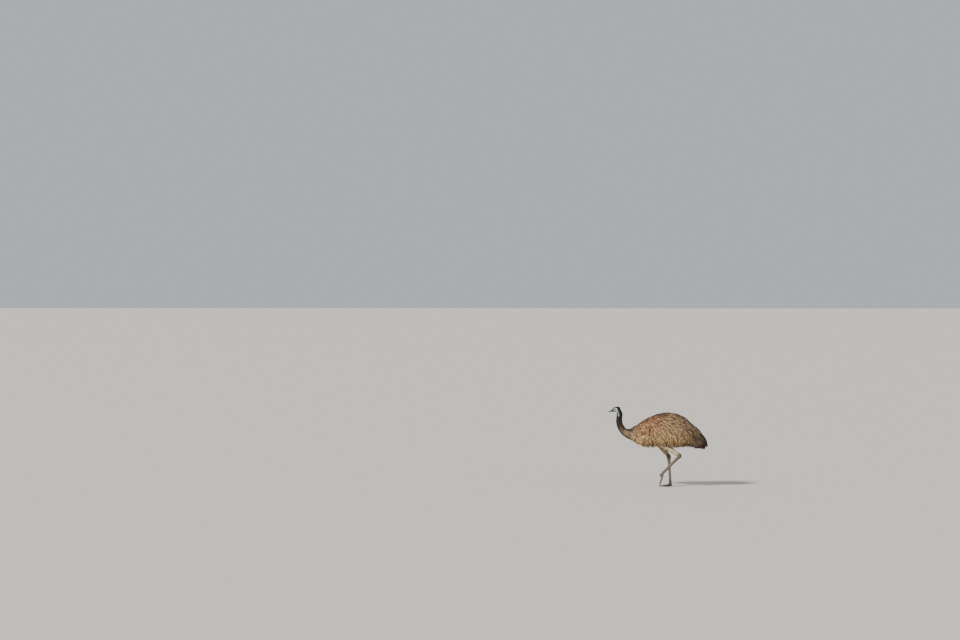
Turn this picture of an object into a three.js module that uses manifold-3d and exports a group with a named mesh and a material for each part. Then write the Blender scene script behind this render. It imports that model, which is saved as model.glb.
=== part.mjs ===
// A walking emu at life size, as a still model. Millimetres, +Z up, the floor at Z 0. The bird faces -X, and
// its left side faces -Y. Its right foot is flat on the floor, and its left leg swings forward with hanging
// toes.
import * as THREE from "three";
import { mergeVertices } from "three/addons/utils/BufferGeometryUtils.js";
import Module from "manifold-3d";

const wasm = await Module();
wasm.setup();

// Driving dimensions of an adult bird.
const GAP = 0.3; // between solids that touch
const TOE_JOINT_HEIGHT = 40; // middle of the joint over the sole
const MIDDLE_TOE = 138; // joint to the root of the claw
const INNER_TOE = 80;
const OUTER_TOE = 90;
const CLAW = 30;
const BILL_LENGTH = 62; // along its top ridge
const EYE_RADIUS = 12.5;

// Finishes.
const finish = (color, roughness) => new THREE.MeshStandardMaterial({ color, roughness, metalness: 0 });
const PLUMAGE = finish(0x8a7254, 0.95);
const NECK_PLUMAGE = finish(0x57483a, 0.95);
const NECK_SKIN = finish(0x9fb3b5, 0.8);
const HEAD_PLUMAGE = finish(0x26211f, 0.9);
const BILL = finish(0x2c2724, 0.5);
const EYE = finish(0x3a1a0c, 0.1);
const DRUMSTICK = finish(0xb49a74, 0.95);
const SCALES = finish(0x6e6152, 0.75);
const CLAWS = finish(0x23201d, 0.5);

// A tube along stations that each give a middle point and half sizes: up and down across the tube, and to its
// sides. `side` is the direction that the side sizes run in, before it is squared to the tube.
class Loft {
  constructor(stations, { side = [0, 1, 0], bulgeUp = 2, bulgeDown = 2 } = {}) {
    const curve = (read) => {
      const points = stations.map((s) => new THREE.Vector3(...read(s)));
      return new THREE.CatmullRomCurve3(points, false, "catmullrom");
    };
    this.line = curve((s) => [s.x, s.y ?? 0, s.z]);
    this.sizes = curve((s) => [s.up, s.down ?? s.up, s.side]);
    this.side = new THREE.Vector3(...side);
    this.bulge = [bulgeUp, bulgeDown];
    this.last = stations.length - 1;
  }

  // The middle, directions and half sizes at station number t, which may lie between two stations.
  frame(t) {
    const share = THREE.MathUtils.clamp(t / this.last, 0, 1);
    const along = this.line.getTangent(share);
    const side = this.side.clone().addScaledVector(along, -this.side.dot(along)).normalize();
    const up = new THREE.Vector3().crossVectors(side, along);
    return { middle: this.line.getPoint(share), along, side, up, sizes: this.sizes.getPoint(share) };
  }

  // The surface at station t and an angle round the tube, 0 to the side and a quarter turn up, with the half
  // sizes grown by `grow`, scaled by `scale`, and moved `ahead` along the tube.
  at(t, angle, { grow = 0, scale = 1, ahead = 0 } = {}) {
    const f = this.frame(t);
    const [c, s] = [Math.cos(angle), Math.sin(angle)];
    const power = 2 / this.bulge[s >= 0 ? 0 : 1];
    const across = Math.sign(c) * Math.abs(c) ** power * (f.sizes.z + grow) * scale;
    const rise = Math.sign(s) * Math.abs(s) ** power * ((s >= 0 ? f.sizes.x : f.sizes.y) + grow) * scale;
    return f.middle.addScaledVector(f.side, across).addScaledVector(f.up, rise).addScaledVector(f.along, ahead);
  }

  // A closed solid from station a to station b. A dome of the given length may round each end.
  solid(a, b, sides, steps, { grow = 0, startDome = 0, endDome = 0 } = {}) {
    const rings = [];
    const DOME_RINGS = 3;
    for (let i = DOME_RINGS; i > 0 && startDome; i--) {
      const turn = (i / DOME_RINGS) * (Math.PI / 2);
      rings.push({ t: a, scale: Math.cos(turn), ahead: -(startDome + grow) * Math.sin(turn) });
    }
    for (let i = 0; i <= steps; i++) rings.push({ t: a + ((b - a) * i) / steps, scale: 1, ahead: 0 });
    for (let i = 1; i <= DOME_RINGS && endDome; i++) {
      const turn = (i / DOME_RINGS) * (Math.PI / 2);
      rings.push({ t: b, scale: Math.cos(turn), ahead: (endDome + grow) * Math.sin(turn) });
    }
    const rows = rings.length - 1;
    const tube = new THREE.CylinderGeometry(1, 1, 1, sides, rows);
    const place = tube.getAttribute("position");
    const point = new THREE.Vector3();
    for (let i = 0; i < place.count; i++) {
      point.fromBufferAttribute(place, i);
      const ring = rings[Math.round((point.y + 0.5) * rows)];
      const reach = Math.hypot(point.x, point.z) < 0.5 ? 0 : ring.scale;
      const moved = this.at(ring.t, Math.atan2(point.z, point.x), { grow, scale: reach, ahead: ring.ahead });
      place.setXYZ(i, moved.x, moved.y, moved.z);
    }
    return solidOf(tube);
  }
}

// A closed three.js geometry as a solid for joining and cutting, turned right side out if its map mirrored it.
function solidOf(geometry) {
  const bare = geometry.clone();
  for (const name of Object.keys(bare.attributes)) if (name !== "position") bare.deleteAttribute(name);
  const merged = mergeVertices(bare, 1e-3);
  const corners = [...merged.index.array];
  const faces = [];
  for (let i = 0; i < corners.length; i += 3) {
    const [p, q, r] = corners.slice(i, i + 3);
    if (p !== q && q !== r && r !== p) faces.push([p, q, r]);
  }
  const vertProperties = merged.attributes.position.array;
  const build = (list) =>
    new wasm.Manifold(new wasm.Mesh({ numProp: 3, vertProperties, triVerts: new Uint32Array(list.flat()) }));
  const made = build(faces);
  return made.volume() < 0 ? build(faces.map(([p, q, r]) => [p, r, q])) : made;
}

// The largest closed surface of a solid, which drops any loose scrap that a cut has left, without slivers.
const SLIVER = 0.15;
function largest(solid) {
  const pieces = solid.simplify(SLIVER).decompose();
  return pieces.reduce((best, piece) => (piece.volume() > best.volume() ? piece : best));
}

// A named mesh of the largest closed surface of a solid.
function meshOf(name, solid, material) {
  const { vertProperties, triVerts } = largest(solid).getMesh();
  const geometry = new THREE.BufferGeometry()
    .setAttribute("position", new THREE.BufferAttribute(vertProperties, 3))
    .setIndex(new THREE.BufferAttribute(triVerts, 1));
  geometry.computeVertexNormals();
  const mesh = new THREE.Mesh(geometry, material);
  mesh.name = name;
  return mesh;
}

const ball = (radius, [x, y, z], [sx, sy, sz] = [1, 1, 1], sides = 14) =>
  solidOf(new THREE.SphereGeometry(radius, sides, sides / 2 + 1).scale(sx, sy, sz).translate(x, y, z));
const block = ([dx, dy, dz], [x, y, z]) => solidOf(new THREE.BoxGeometry(dx, dy, dz).translate(x, y, z));

const emu = new THREE.Group();
const SIDES = [
  { name: "left", sign: -1 },
  { name: "right", sign: 1 },
];

// The body and neck are one tube from the tail end to the head, out to the tips of the plumage. `coat` is the depth
// of the plumage over the core.
const BODY_STATIONS = [
  { x: 622, z: 618, up: 70, down: 72, side: 62, coat: 24 }, // tail end
  { x: 572, z: 657, up: 97, down: 104, side: 108, coat: 28 },
  { x: 510, z: 699, up: 107, down: 120, side: 145, coat: 29 },
  { x: 430, z: 742, up: 122, down: 160, side: 185, coat: 30 }, // rump
  { x: 298, z: 788, up: 188, down: 222, side: 222, coat: 30 },
  { x: 160, z: 806, up: 232, down: 230, side: 232, coat: 30 }, // over the hips
  { x: 20, z: 795, up: 220, down: 216, side: 218, coat: 30 },
  { x: -120, z: 768, up: 188, down: 196, side: 182, coat: 27 },
  { x: -240, z: 742, up: 139, down: 166, side: 136, coat: 24 }, // shoulders
  { x: -330, z: 728, up: 104, down: 104, side: 96, coat: 19 }, // neck base
  { x: -405, z: 735, up: 72, down: 70, side: 72, coat: 14 },
  { x: -465, z: 768, up: 54, down: 54, side: 57, coat: 11 },
  { x: -508, z: 828, up: 48, down: 46, side: 49, coat: 9 },
  { x: -528, z: 893, up: 42, down: 42, side: 42, coat: 6 },
  { x: -530, z: 950, up: 38, down: 38, side: 37, coat: 3 },
  { x: -524, z: 1008, up: 37, down: 37, side: 34, coat: 2 }, // under the head
  { x: -541, z: 1060, up: 34, down: 31, side: 30, coat: 0 }, // in the head
];
const BODY = new Loft(
  BODY_STATIONS.map((s) => ({ ...s, up: s.up - s.coat, down: s.down - s.coat, side: s.side - s.coat })),
  { bulgeUp: 2, bulgeDown: 2.5 },
);
const COAT_POINTS = BODY_STATIONS.map((s) => new THREE.Vector3(s.coat, 0, 0));
const COAT = new THREE.CatmullRomCurve3(COAT_POINTS, false, "catmullrom");
const coatDepth = (t) => COAT.getPoint(THREE.MathUtils.clamp(t / BODY.last, 0, 1)).x;
const [TAIL, RUMP, NECK_BASE, NECK_MIDDLE, NECK_TOP] = [0, 3.1, 9.2, 13.4, 14.9];
const TAIL_DOME = 24;
const middleAt = (t) => BODY.line.getPoint(t / BODY.last);
const thinCut = (t) => GAP / middleAt(t).distanceTo(middleAt(t + 1));
const tailCore = (grow) => BODY.solid(TAIL, RUMP + (grow && thinCut(RUMP)), 24, 6, { grow, startDome: TAIL_DOME });
const torsoCore = (grow) =>
  BODY.solid(RUMP + (grow ? 0 : thinCut(RUMP)), NECK_BASE + (grow && thinCut(NECK_BASE)), 24, 12, { grow });
const neckCore = (grow) => BODY.solid(NECK_BASE + (grow ? 0 : thinCut(NECK_BASE)), NECK_MIDDLE, 16, 8, { grow });

// Feather locks. A seeded generator varies their places and sizes a little.
let seed = 20417;
function vary(spread) {
  seed = (Math.imul(seed, 1664525) + 1013904223) >>> 0;
  return 1 + spread * (seed / 2 ** 31 - 1);
}

// The directions over a tube's surface at station t and an angle: towards higher stations, round the tube, and out.
function surfaceAt(loft, t, angle) {
  const place = loft.at(t, angle);
  const alongStep = loft.at(t + 0.02, angle).sub(loft.at(t - 0.02, angle)).divideScalar(0.04);
  const roundStep = loft.at(t, angle + 0.02).sub(loft.at(t, angle - 0.02)).divideScalar(0.04);
  const out = new THREE.Vector3().crossVectors(roundStep, alongStep).normalize();
  if (out.dot(place.clone().sub(loft.frame(t).middle)) < 0) out.negate();
  return { place, alongStep, roundStep, out };
}

const BACK = new THREE.Vector3(1, 0, 0);
const DOWN = new THREE.Vector3(0, 0, -1);

// The path of a lock: its root sunk in the surface, its middle over the surface along its lie, and its tip in the
// open. `lie` gives its direction at a place, and `hang` is how far it leaves the surface to hang straight.
const LOCK_RISE = [-0.3, 0.42, 0.8, 0.9];
function lockPath(loft, t, angle, { length, lie, depth, hang = 0 }) {
  const path = [];
  const STEPS = 3;
  let [station, turn] = [t, angle];
  let [root, hangWay] = [null, null];
  for (let row = 0; row <= STEPS; row++) {
    const s = surfaceAt(loft, station, turn);
    const way = lie(s.place, s.out);
    const flat = way.addScaledVector(s.out, -way.dot(s.out)).normalize();
    root ??= s;
    hangWay ??= flat.clone().lerp(DOWN, 0.35).normalize();
    const onSurface = s.place.clone().addScaledVector(s.out, depth * LOCK_RISE[row]);
    const hanging = root.place.clone().addScaledVector(root.out, depth * LOCK_RISE[row]);
    hanging.addScaledVector(hangWay, (length * row) / STEPS);
    path.push({ place: onSurface.lerp(hanging, hang), face: s.out.lerp(root.out, hang).normalize() });
    const [aa, ab, bb] = [s.alongStep.lengthSq(), s.alongStep.dot(s.roundStep), s.roundStep.lengthSq()];
    const [fa, fb] = [flat.dot(s.alongStep), flat.dot(s.roundStep)];
    const scale = length / STEPS / (aa * bb - ab * ab);
    station = Math.max(station + (fa * bb - fb * ab) * scale, 0);
    turn += (fb * aa - fa * ab) * scale;
  }
  return path;
}

// A flat, tapered lock along a path. It is a three-sided cone bent along the path, with its ridge outwards.
const LOCK_SHAPE = [
  { width: 0.7, thickness: 1 },
  { width: 1, thickness: 1 },
  { width: 0.8, thickness: 0.8 },
  { width: 0, thickness: 0 },
];
function lockSolid({ path, halfWidth, halfThickness }, grow = 0) {
  const rows = path.length - 1;
  const cone = new THREE.ConeGeometry(1, 1, 3, rows);
  const corner = cone.getAttribute("position");
  for (let i = 0; i < corner.count; i++) {
    const row = Math.round((corner.getY(i) + 0.5) * rows);
    const [before, after] = [path[Math.max(row - 1, 0)].place, path[Math.min(row + 1, rows)].place];
    const along = after.clone().sub(before).normalize();
    const side = new THREE.Vector3().crossVectors(path[row].face, along).normalize();
    const face = new THREE.Vector3().crossVectors(along, side);
    const reach = Math.hypot(corner.getX(i), corner.getZ(i));
    const shape = LOCK_SHAPE[row];
    const across = reach > 1e-3 ? (corner.getX(i) / reach) * (halfWidth + grow) * shape.width : 0;
    const out = reach > 1e-3 ? (corner.getZ(i) / reach) * (halfThickness + grow) * shape.thickness : 0;
    const moved = path[row].place.clone().addScaledVector(side, across).addScaledVector(face, out);
    if (row === rows) moved.addScaledVector(along, grow * 2);
    corner.setXYZ(i, moved.x, moved.y, moved.z);
  }
  return solidOf(cone);
}
const lockSolids = (locks, grow = 0) => wasm.Manifold.union(locks.map((lock) => lockSolid(lock, grow)));

// The lie of the plumage: back from the neck, and further down on the flanks than on the back.
function bodyLie(place, out) {
  const low = THREE.MathUtils.smoothstep(0.75 - out.z, 0, 1.2);
  const down = THREE.MathUtils.degToRad(12 + 62 * low);
  return BACK.clone().multiplyScalar(Math.cos(down)).addScaledVector(DOWN, Math.sin(down));
}

// A tier of locks round the tube at station t. Its angles run down both flanks from the middle of the back.
function tier(t, { to, count, offset, length, halfWidth, halfThickness, hangs = true, lie = bodyLie }) {
  const locks = [];
  for (const side of SIDES) {
    for (let i = 0; i < count; i++) {
      const share = (i + 0.5 * offset) / count;
      if (share === 0 && side.sign < 0) continue;
      const below = THREE.MathUtils.lerp(90, to, share);
      const angle = THREE.MathUtils.degToRad(side.sign > 0 ? below : 180 - below);
      const station = t * vary(0.006);
      const low = THREE.MathUtils.smoothstep(20 - below, 0, 45);
      const hang = hangs ? Math.max(low, THREE.MathUtils.smoothstep(3 - t, 0, 1.2)) : 0;
      const size = length * vary(0.1) * (1 - 0.3 * low);
      const path = lockPath(BODY, station, angle, { length: size, lie, depth: coatDepth(t), hang });
      locks.push({ path, halfWidth: halfWidth * vary(0.08), halfThickness });
    }
  }
  return locks;
}
const neckLie = (place) => BODY.line.getPoint(0.5).sub(place).setY(0).normalize().lerp(DOWN, 0.45);
const torsoLocks = [3.3, 3.95, 4.6, 5.3, 6, 6.7, 7.4, 8.05, 8.65].flatMap((t, i) =>
  tier(t, {
    to: -38,
    count: t > 8 ? 4 : t > 7 ? 5 : 6,
    offset: i % 2,
    length: t > 7 ? 135 : 160,
    halfWidth: t > 8 ? 32 : 42,
    halfThickness: 6,
  }),
);
const tailLocks = [0.35, 1.15, 1.9, 2.6].flatMap((t, i) =>
  tier(t, {
    to: -48,
    count: t > 1 ? 5 : 4,
    offset: i % 2,
    length: 125,
    halfWidth: t > 1 ? 34 : 25,
    halfThickness: 5.5,
  }),
);
const neckLocks = [9.8, 10.7, 11.5, 12.3, 13].flatMap((t, i) =>
  tier(t, {
    to: -75,
    count: 3,
    offset: i % 2,
    length: t > 11 ? 76 : 88,
    halfWidth: t > 11 ? 18 : 24,
    halfThickness: 3,
    hangs: false,
    lie: neckLie,
  }),
);

// Head, in its own frame: the eyes' middle at its origin, the bill towards -X, and tipped a little down.
const head = new THREE.Group();
head.position.set(-575, 0, 1068);
head.rotation.y = THREE.MathUtils.degToRad(-9);
head.updateMatrixWorld(true);
emu.add(head);
const HEAD_FRONT = -52;
const SKULL = new Loft([
  { x: 52, z: 1, up: 27, down: 24, side: 24 }, // back of the head
  { x: 36, z: 0, up: 35, down: 31, side: 31 },
  { x: 14, z: 0, up: 38, down: 33, side: 35 },
  { x: -6, z: -1, up: 37, down: 30, side: 34 }, // brow
  { x: -26, z: -4, up: 31, down: 23, side: 29 },
  { x: -42, z: -8, up: 22, down: 17, side: 25 },
  { x: HEAD_FRONT, z: -11, up: 15, down: 13, side: 22.5 }, // root of the bill
]);
const skullSolid = (grow, endDome = 0) => SKULL.solid(0, SKULL.last, 18, 7, { grow, startDome: 13, endDome });

// The bill's two halves are domes laid flat against the line of the mouth.
const MOUTH_GAP = 0.8;
const MOUTH = { root: -14, tip: -17 };
const BILL_TIP = HEAD_FRONT - BILL_LENGTH;
const billStation = (share, depth, side) => ({
  x: THREE.MathUtils.lerp(HEAD_FRONT + 6, BILL_TIP, share),
  z: THREE.MathUtils.lerp(MOUTH.root, MOUTH.tip, share),
  depth,
  side,
});
function billHalf(list, rise) {
  const stations = list.map((s) => ({
    ...s,
    z: s.z + (rise * MOUTH_GAP) / 2,
    up: rise > 0 ? s.depth : GAP,
    down: rise > 0 ? GAP : s.depth,
  }));
  return new Loft(stations, { bulgeUp: 1.8, bulgeDown: 1.8 });
}
const UPPER_STATIONS = [
  billStation(0, 25, 22),
  billStation(0.3, 19, 20),
  billStation(0.6, 14, 16.5),
  billStation(0.85, 10.5, 11.5),
  billStation(0.97, 7, 6.5),
];
const LOWER_STATIONS = [
  billStation(0, 11, 21),
  billStation(0.3, 9.5, 19),
  billStation(0.6, 7.5, 15.5),
  billStation(0.85, 5.5, 10.5),
  billStation(0.94, 4, 6.5),
];
const UPPER_BILL = billHalf(UPPER_STATIONS, 1);
const LOWER_BILL = billHalf(LOWER_STATIONS, -1);
const nostrils = SIDES.map(({ sign }) => ball(1, [-84, sign * 14.5, -6.5], [6.5, 3, 2.4], 8));
const upperBill = UPPER_BILL.solid(0, UPPER_BILL.last, 12, 5, { endDome: 4 }).subtract(
  wasm.Manifold.union(nostrils),
);
const lowerBill = LOWER_BILL.solid(0, LOWER_BILL.last, 12, 4, { endDome: 4 });

// Each eye is a ball in a lidded socket, and each ear a small cup in the side of the head.
const EYE_PLACE = { x: -4, y: 25, z: 4 };
const EAR_PLACE = { x: 27, y: 29.5, z: -7 };
const EAR = { rim: 8.5, mouth: 5, depth: 5 };
const eyeSpot = (sign) => [EYE_PLACE.x, sign * EYE_PLACE.y, EYE_PLACE.z];
const earSpot = (sign) => [EAR_PLACE.x, sign * EAR_PLACE.y, EAR_PLACE.z];
function lidRing(sign) {
  const ring = new THREE.TorusGeometry(10.2, 2.6, 5, 16).scale(1.08, 0.92, 1).rotateX(Math.PI / 2);
  return solidOf(ring.translate(EYE_PLACE.x, sign * (EYE_PLACE.y + 9), EYE_PLACE.z));
}
function earCup(sign, grow = 0) {
  const cupProfile = [
    [0, -EAR.depth],
    [EAR.rim - 2, -EAR.depth],
    [EAR.rim, 3],
    [EAR.rim - 1.5, 4.5],
    [EAR.mouth, 3],
    [EAR.mouth - 2, -EAR.depth + 3],
    [0, -EAR.depth + 2],
  ];
  const plugProfile = [
    [0, -EAR.depth - grow],
    [EAR.rim - 2 + grow, -EAR.depth - grow],
    [EAR.rim + grow, 3],
    [0, 12],
  ];
  const points = (grow ? plugProfile : cupProfile).map(([r, h]) => new THREE.Vector2(r, h));
  const cup = new THREE.LatheGeometry(points, 12).scale(1, 1, 1.3);
  return solidOf(cup.rotateX(sign > 0 ? Math.PI / 2 : -Math.PI / 2).translate(...earSpot(sign)));
}
const throat = BODY.solid(NECK_TOP + thinCut(NECK_TOP - 1), BODY.last, 20, 3, { endDome: 14 });
const inHead = new THREE.Matrix4().copy(head.matrixWorld).invert();
const mouthLines = SIDES.map(({ sign }) => block([40, 8, 1], [HEAD_FRONT + 17, sign * 25, MOUTH.root + 0.5]));
let headSolid = skullSolid(0)
  .add(throat.transform(inHead.toArray()))
  .add(wasm.Manifold.union(SIDES.map(({ sign }) => lidRing(sign))));
headSolid = headSolid
  .subtract(wasm.Manifold.union(SIDES.map(({ sign }) => ball(EYE_RADIUS + GAP, eyeSpot(sign)))))
  .subtract(wasm.Manifold.union(SIDES.map(({ sign }) => earCup(sign, GAP))))
  .subtract(wasm.Manifold.union(mouthLines));
const clearOfSkull = skullSolid(GAP, GAP);
head.add(meshOf("head", headSolid, HEAD_PLUMAGE));
head.add(meshOf("bill_upper", upperBill.subtract(clearOfSkull), BILL));
head.add(meshOf("bill_lower", lowerBill.subtract(clearOfSkull), BILL));
for (const { name, sign } of SIDES) {
  head.add(meshOf("eye_" + name, ball(EYE_RADIUS, eyeSpot(sign)), EYE));
  head.add(meshOf("ear_" + name, earCup(sign), NECK_SKIN));
}

// Legs. Each has a feathered drumstick from the knee, inside the plumage, to the hock, then a scaly shank, the
// ball of the foot and three toes. `turn` is the way that the foot points, `hang` how far its toes hang, and
// `spread` the angle of its side toes.
const LEGS = [
  {
    name: "left",
    knee: [-60, -108, 670],
    hock: [316, -104, 436],
    joint: [52, -100, 166],
    turn: 2,
    hang: 71,
    spread: 22,
  },
  {
    name: "right",
    knee: [-105, 100, 736],
    hock: [163, 50, 416],
    joint: [184, 24, TOE_JOINT_HEIGHT],
    turn: 14,
    hang: 0,
    spread: 30,
  },
];
const TOES = [
  { name: "inner", length: INNER_TOE, side: -1, width: 12.5 },
  { name: "middle", length: MIDDLE_TOE, side: 0, width: 16 },
  { name: "outer", length: OUTER_TOE, side: 1, width: 13 },
];
const between = (p, q, share) => new THREE.Vector3(...p).lerp(new THREE.Vector3(...q), share);
const station = (point, up, down, side) => ({ x: point.x, y: point.y, z: point.z, up, down, side });

// Toe with its joint at the origin of the foot's frame, pads on the sole, and a claw at its end.
function toeLoft({ length, width }) {
  const sole = -TOE_JOINT_HEIGHT;
  const at = (share, height, side) => ({
    x: -length * share,
    z: sole + height - 1.6,
    up: height * 0.85,
    down: height,
    side,
  });
  return new Loft([
    at(0.13, 20, width + 4),
    at(0.3, 16.5, width),
    at(0.5, 14.5, width + 0.5),
    at(0.66, 12.5, width - 1.5),
    at(0.84, 11.5, width - 1),
    at(0.97, 8.5, width - 4),
  ]);
}
function clawLoft({ length, width }) {
  const sole = -TOE_JOINT_HEIGHT;
  const half = width * 0.42;
  const at = (share, z, height, side) => ({
    x: -(length * 0.97 + CLAW * share),
    z: sole + z,
    up: height,
    down: height,
    side,
  });
  return new Loft([
    at(-0.1, 10.5, 6, half),
    at(0.25, 10, 5.6, half),
    at(0.6, 7.5, 4.4, half * 0.8),
    at(0.93, 1.8, 2.4, half * 0.45),
  ]);
}

const SCUTES = 8; // plates down the front of a shank
const besideTorso = [];
for (const leg of LEGS) {
  const { knee, hock, joint } = leg;
  const DRUMSTICK_SHAPE = new Loft(
    [
      station(between(knee, hock, 0), 60, 66, 60),
      station(between(knee, hock, 0.3), 46, 58, 50),
      station(between(knee, hock, 0.6), 37, 45, 39),
      station(between(knee, hock, 0.82), 30, 34, 30),
      station(between(knee, hock, 0.94), 28, 29, 26),
    ],
    { bulgeUp: 2.1, bulgeDown: 2.1 },
  );
  const drumstickSolid = (steps, grow) =>
    DRUMSTICK_SHAPE.solid(0.7, DRUMSTICK_SHAPE.last, 14, steps, { grow, startDome: 30, endDome: 8 });
  const hockJoint = between(knee, hock, 0.985);
  const SHANK_SHAPE = new Loft([
    station(hockJoint, 30, 31, 27),
    station(between(hock, joint, 0.05), 31, 30, 27),
    station(between(hock, joint, 0.14), 23, 23, 21),
    station(between(hock, joint, 0.34), 20, 20, 17.5),
    station(between(hock, joint, 0.66), 19, 19, 17),
    station(between(hock, joint, 0.88), 20.5, 20.5, 19.5),
    station(between(hock, joint, 0.965), 21, 21, 22),
  ]);
  const scutes = Array.from({ length: SCUTES }, (_, i) => {
    const f = SHANK_SHAPE.frame(THREE.MathUtils.lerp(2.3, 4.7, i / (SCUTES - 1)));
    const front = f.middle.clone().addScaledVector(f.up, f.sizes.x);
    const plate = new THREE.BoxGeometry(f.sizes.z * 1.25, 21, 5).applyMatrix4(
      new THREE.Matrix4().makeBasis(f.side, f.along, new THREE.Vector3().crossVectors(f.side, f.along)),
    );
    return solidOf(plate.translate(front.x, front.y, front.z));
  });
  const shankSolid = (ends) => SHANK_SHAPE.solid(0, SHANK_SHAPE.last, 12, 9, { startDome: 12, ...ends });
  const shank = shankSolid({}).add(wasm.Manifold.union(scutes));
  const clearOfShank = shankSolid({ grow: GAP, endDome: GAP });
  const drumstick = drumstickSolid(5, 0).subtract(torsoCore(GAP)).subtract(clearOfShank);
  emu.add(meshOf("drumstick_" + leg.name, drumstick, DRUMSTICK));
  besideTorso.push(drumstickSolid(7, 1.5));
  emu.add(meshOf("shank_" + leg.name, shank, SCALES));

  const foot = new THREE.Group();
  foot.position.set(...joint);
  foot.rotation.order = "ZYX";
  foot.rotation.z = THREE.MathUtils.degToRad(leg.turn);
  foot.rotation.y = THREE.MathUtils.degToRad(-leg.hang);
  foot.updateMatrixWorld(true);
  emu.add(foot);
  const toFoot = new THREE.Matrix4().copy(foot.matrixWorld).invert();
  const underFloor = block([900, 900, 200], [joint[0], joint[1], -100]).transform(toFoot.toArray());
  const pad = (grow) => {
    const sole = ball(24 + grow, [3, 0, -19], [1.06, 0.98, 1.02], 12);
    return sole.add(ball(22 + grow, [0, 0, 0], [1, 1, 1], 10));
  };
  emu.updateMatrixWorld(true);
  const shankThere = clearOfShank.transform(toFoot.toArray());
  foot.add(meshOf("foot_" + leg.name, pad(0).subtract(shankThere).subtract(underFloor), SCALES));
  for (const toe of TOES) {
    const outward = toe.side * (leg.name === "left" ? 1 : -1);
    const swing = new THREE.Matrix4().makeRotationZ(THREE.MathUtils.degToRad(outward * leg.spread));
    const shape = toeLoft(toe);
    const clawShape = clawLoft(toe);
    const straightToe = (loft, grow) => loft.solid(0, loft.last, 8, 5, { grow, startDome: 4, endDome: 4 });
    const toeSolid = (grow) => straightToe(shape, grow).transform(swing.toArray());
    const clear = pad(GAP).add(shankThere).add(underFloor);
    let cut = toeSolid(0).subtract(clear);
    if (toe.side) {
      const acrossMiddle = block([400, 80, 200], [0, outward * (40 - GAP), 0]);
      cut = cut.subtract(straightToe(toeLoft(TOES[1]), GAP)).subtract(acrossMiddle);
    }
    const straightClaw = clawShape.solid(0, clawShape.last, 6, 3, { startDome: 2, endDome: 2 });
    const claw = straightClaw.transform(swing.toArray()).subtract(toeSolid(GAP)).subtract(underFloor);
    foot.add(meshOf(`toe_${toe.name}_${leg.name}`, cut, SCALES));
    foot.add(meshOf(`claw_${toe.name}_${leg.name}`, claw, CLAWS));
  }
}

// The wings are small limbs that hang from the sides of the breast.
for (const { name, sign } of SIDES) {
  const WING_SHAPE = new Loft([
    { x: -196, y: sign * 122, z: 730, up: 30, down: 30, side: 18 },
    { x: -176, y: sign * 143, z: 682, up: 30, down: 26, side: 15 },
    { x: -148, y: sign * 148, z: 634, up: 24, down: 20, side: 11 },
    { x: -126, y: sign * 142, z: 588, up: 12, down: 10, side: 7 },
  ]);
  const wingSolid = (grow) =>
    WING_SHAPE.solid(0, WING_SHAPE.last, 10, 6, { grow, startDome: 10, endDome: 8 });
  emu.add(meshOf("wing_" + name, wingSolid(0).subtract(torsoCore(GAP)), PLUMAGE));
  besideTorso.push(wingSolid(1));
}

// Each piece of plumage is its core joined with its locks, cut clear of the pieces beside it.
const loose = (locks, others) => lockSolids(locks).subtract(wasm.Manifold.union(others));
const torso = torsoCore(0).add(loose(torsoLocks, [...besideTorso, tailCore(GAP), neckCore(GAP)]));
const tail = tailCore(0).add(loose(tailLocks, [torsoCore(GAP), lockSolids(torsoLocks, 1)]));
const neck = neckCore(0).add(loose(neckLocks, [torsoCore(GAP), lockSolids(torsoLocks, 1)]));
const neckTop = BODY.solid(NECK_MIDDLE + thinCut(NECK_MIDDLE), NECK_TOP, 20, 4);
emu.add(
  meshOf("torso", torso, PLUMAGE),
  meshOf("tail", tail, PLUMAGE),
  meshOf("neck_lower", neck, NECK_PLUMAGE),
  meshOf("neck_upper", neckTop, NECK_SKIN),
);

// The origin is the middle of the bird's bounding box, on the floor.
const bounds = new THREE.Box3().setFromObject(emu, true);
const middle = bounds.getCenter(new THREE.Vector3());
const part = new THREE.Group();
emu.position.set(-middle.x, -middle.y, 0);
part.add(emu);

export default part;
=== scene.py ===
"""A walking emu at life size. One skin carries fine plumage in joined meshes. Shapes are in millimetres in the
bird's own frame, facing -X with its left side to -Y, and are moved to the row frame in metres at the end."""

import math

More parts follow.
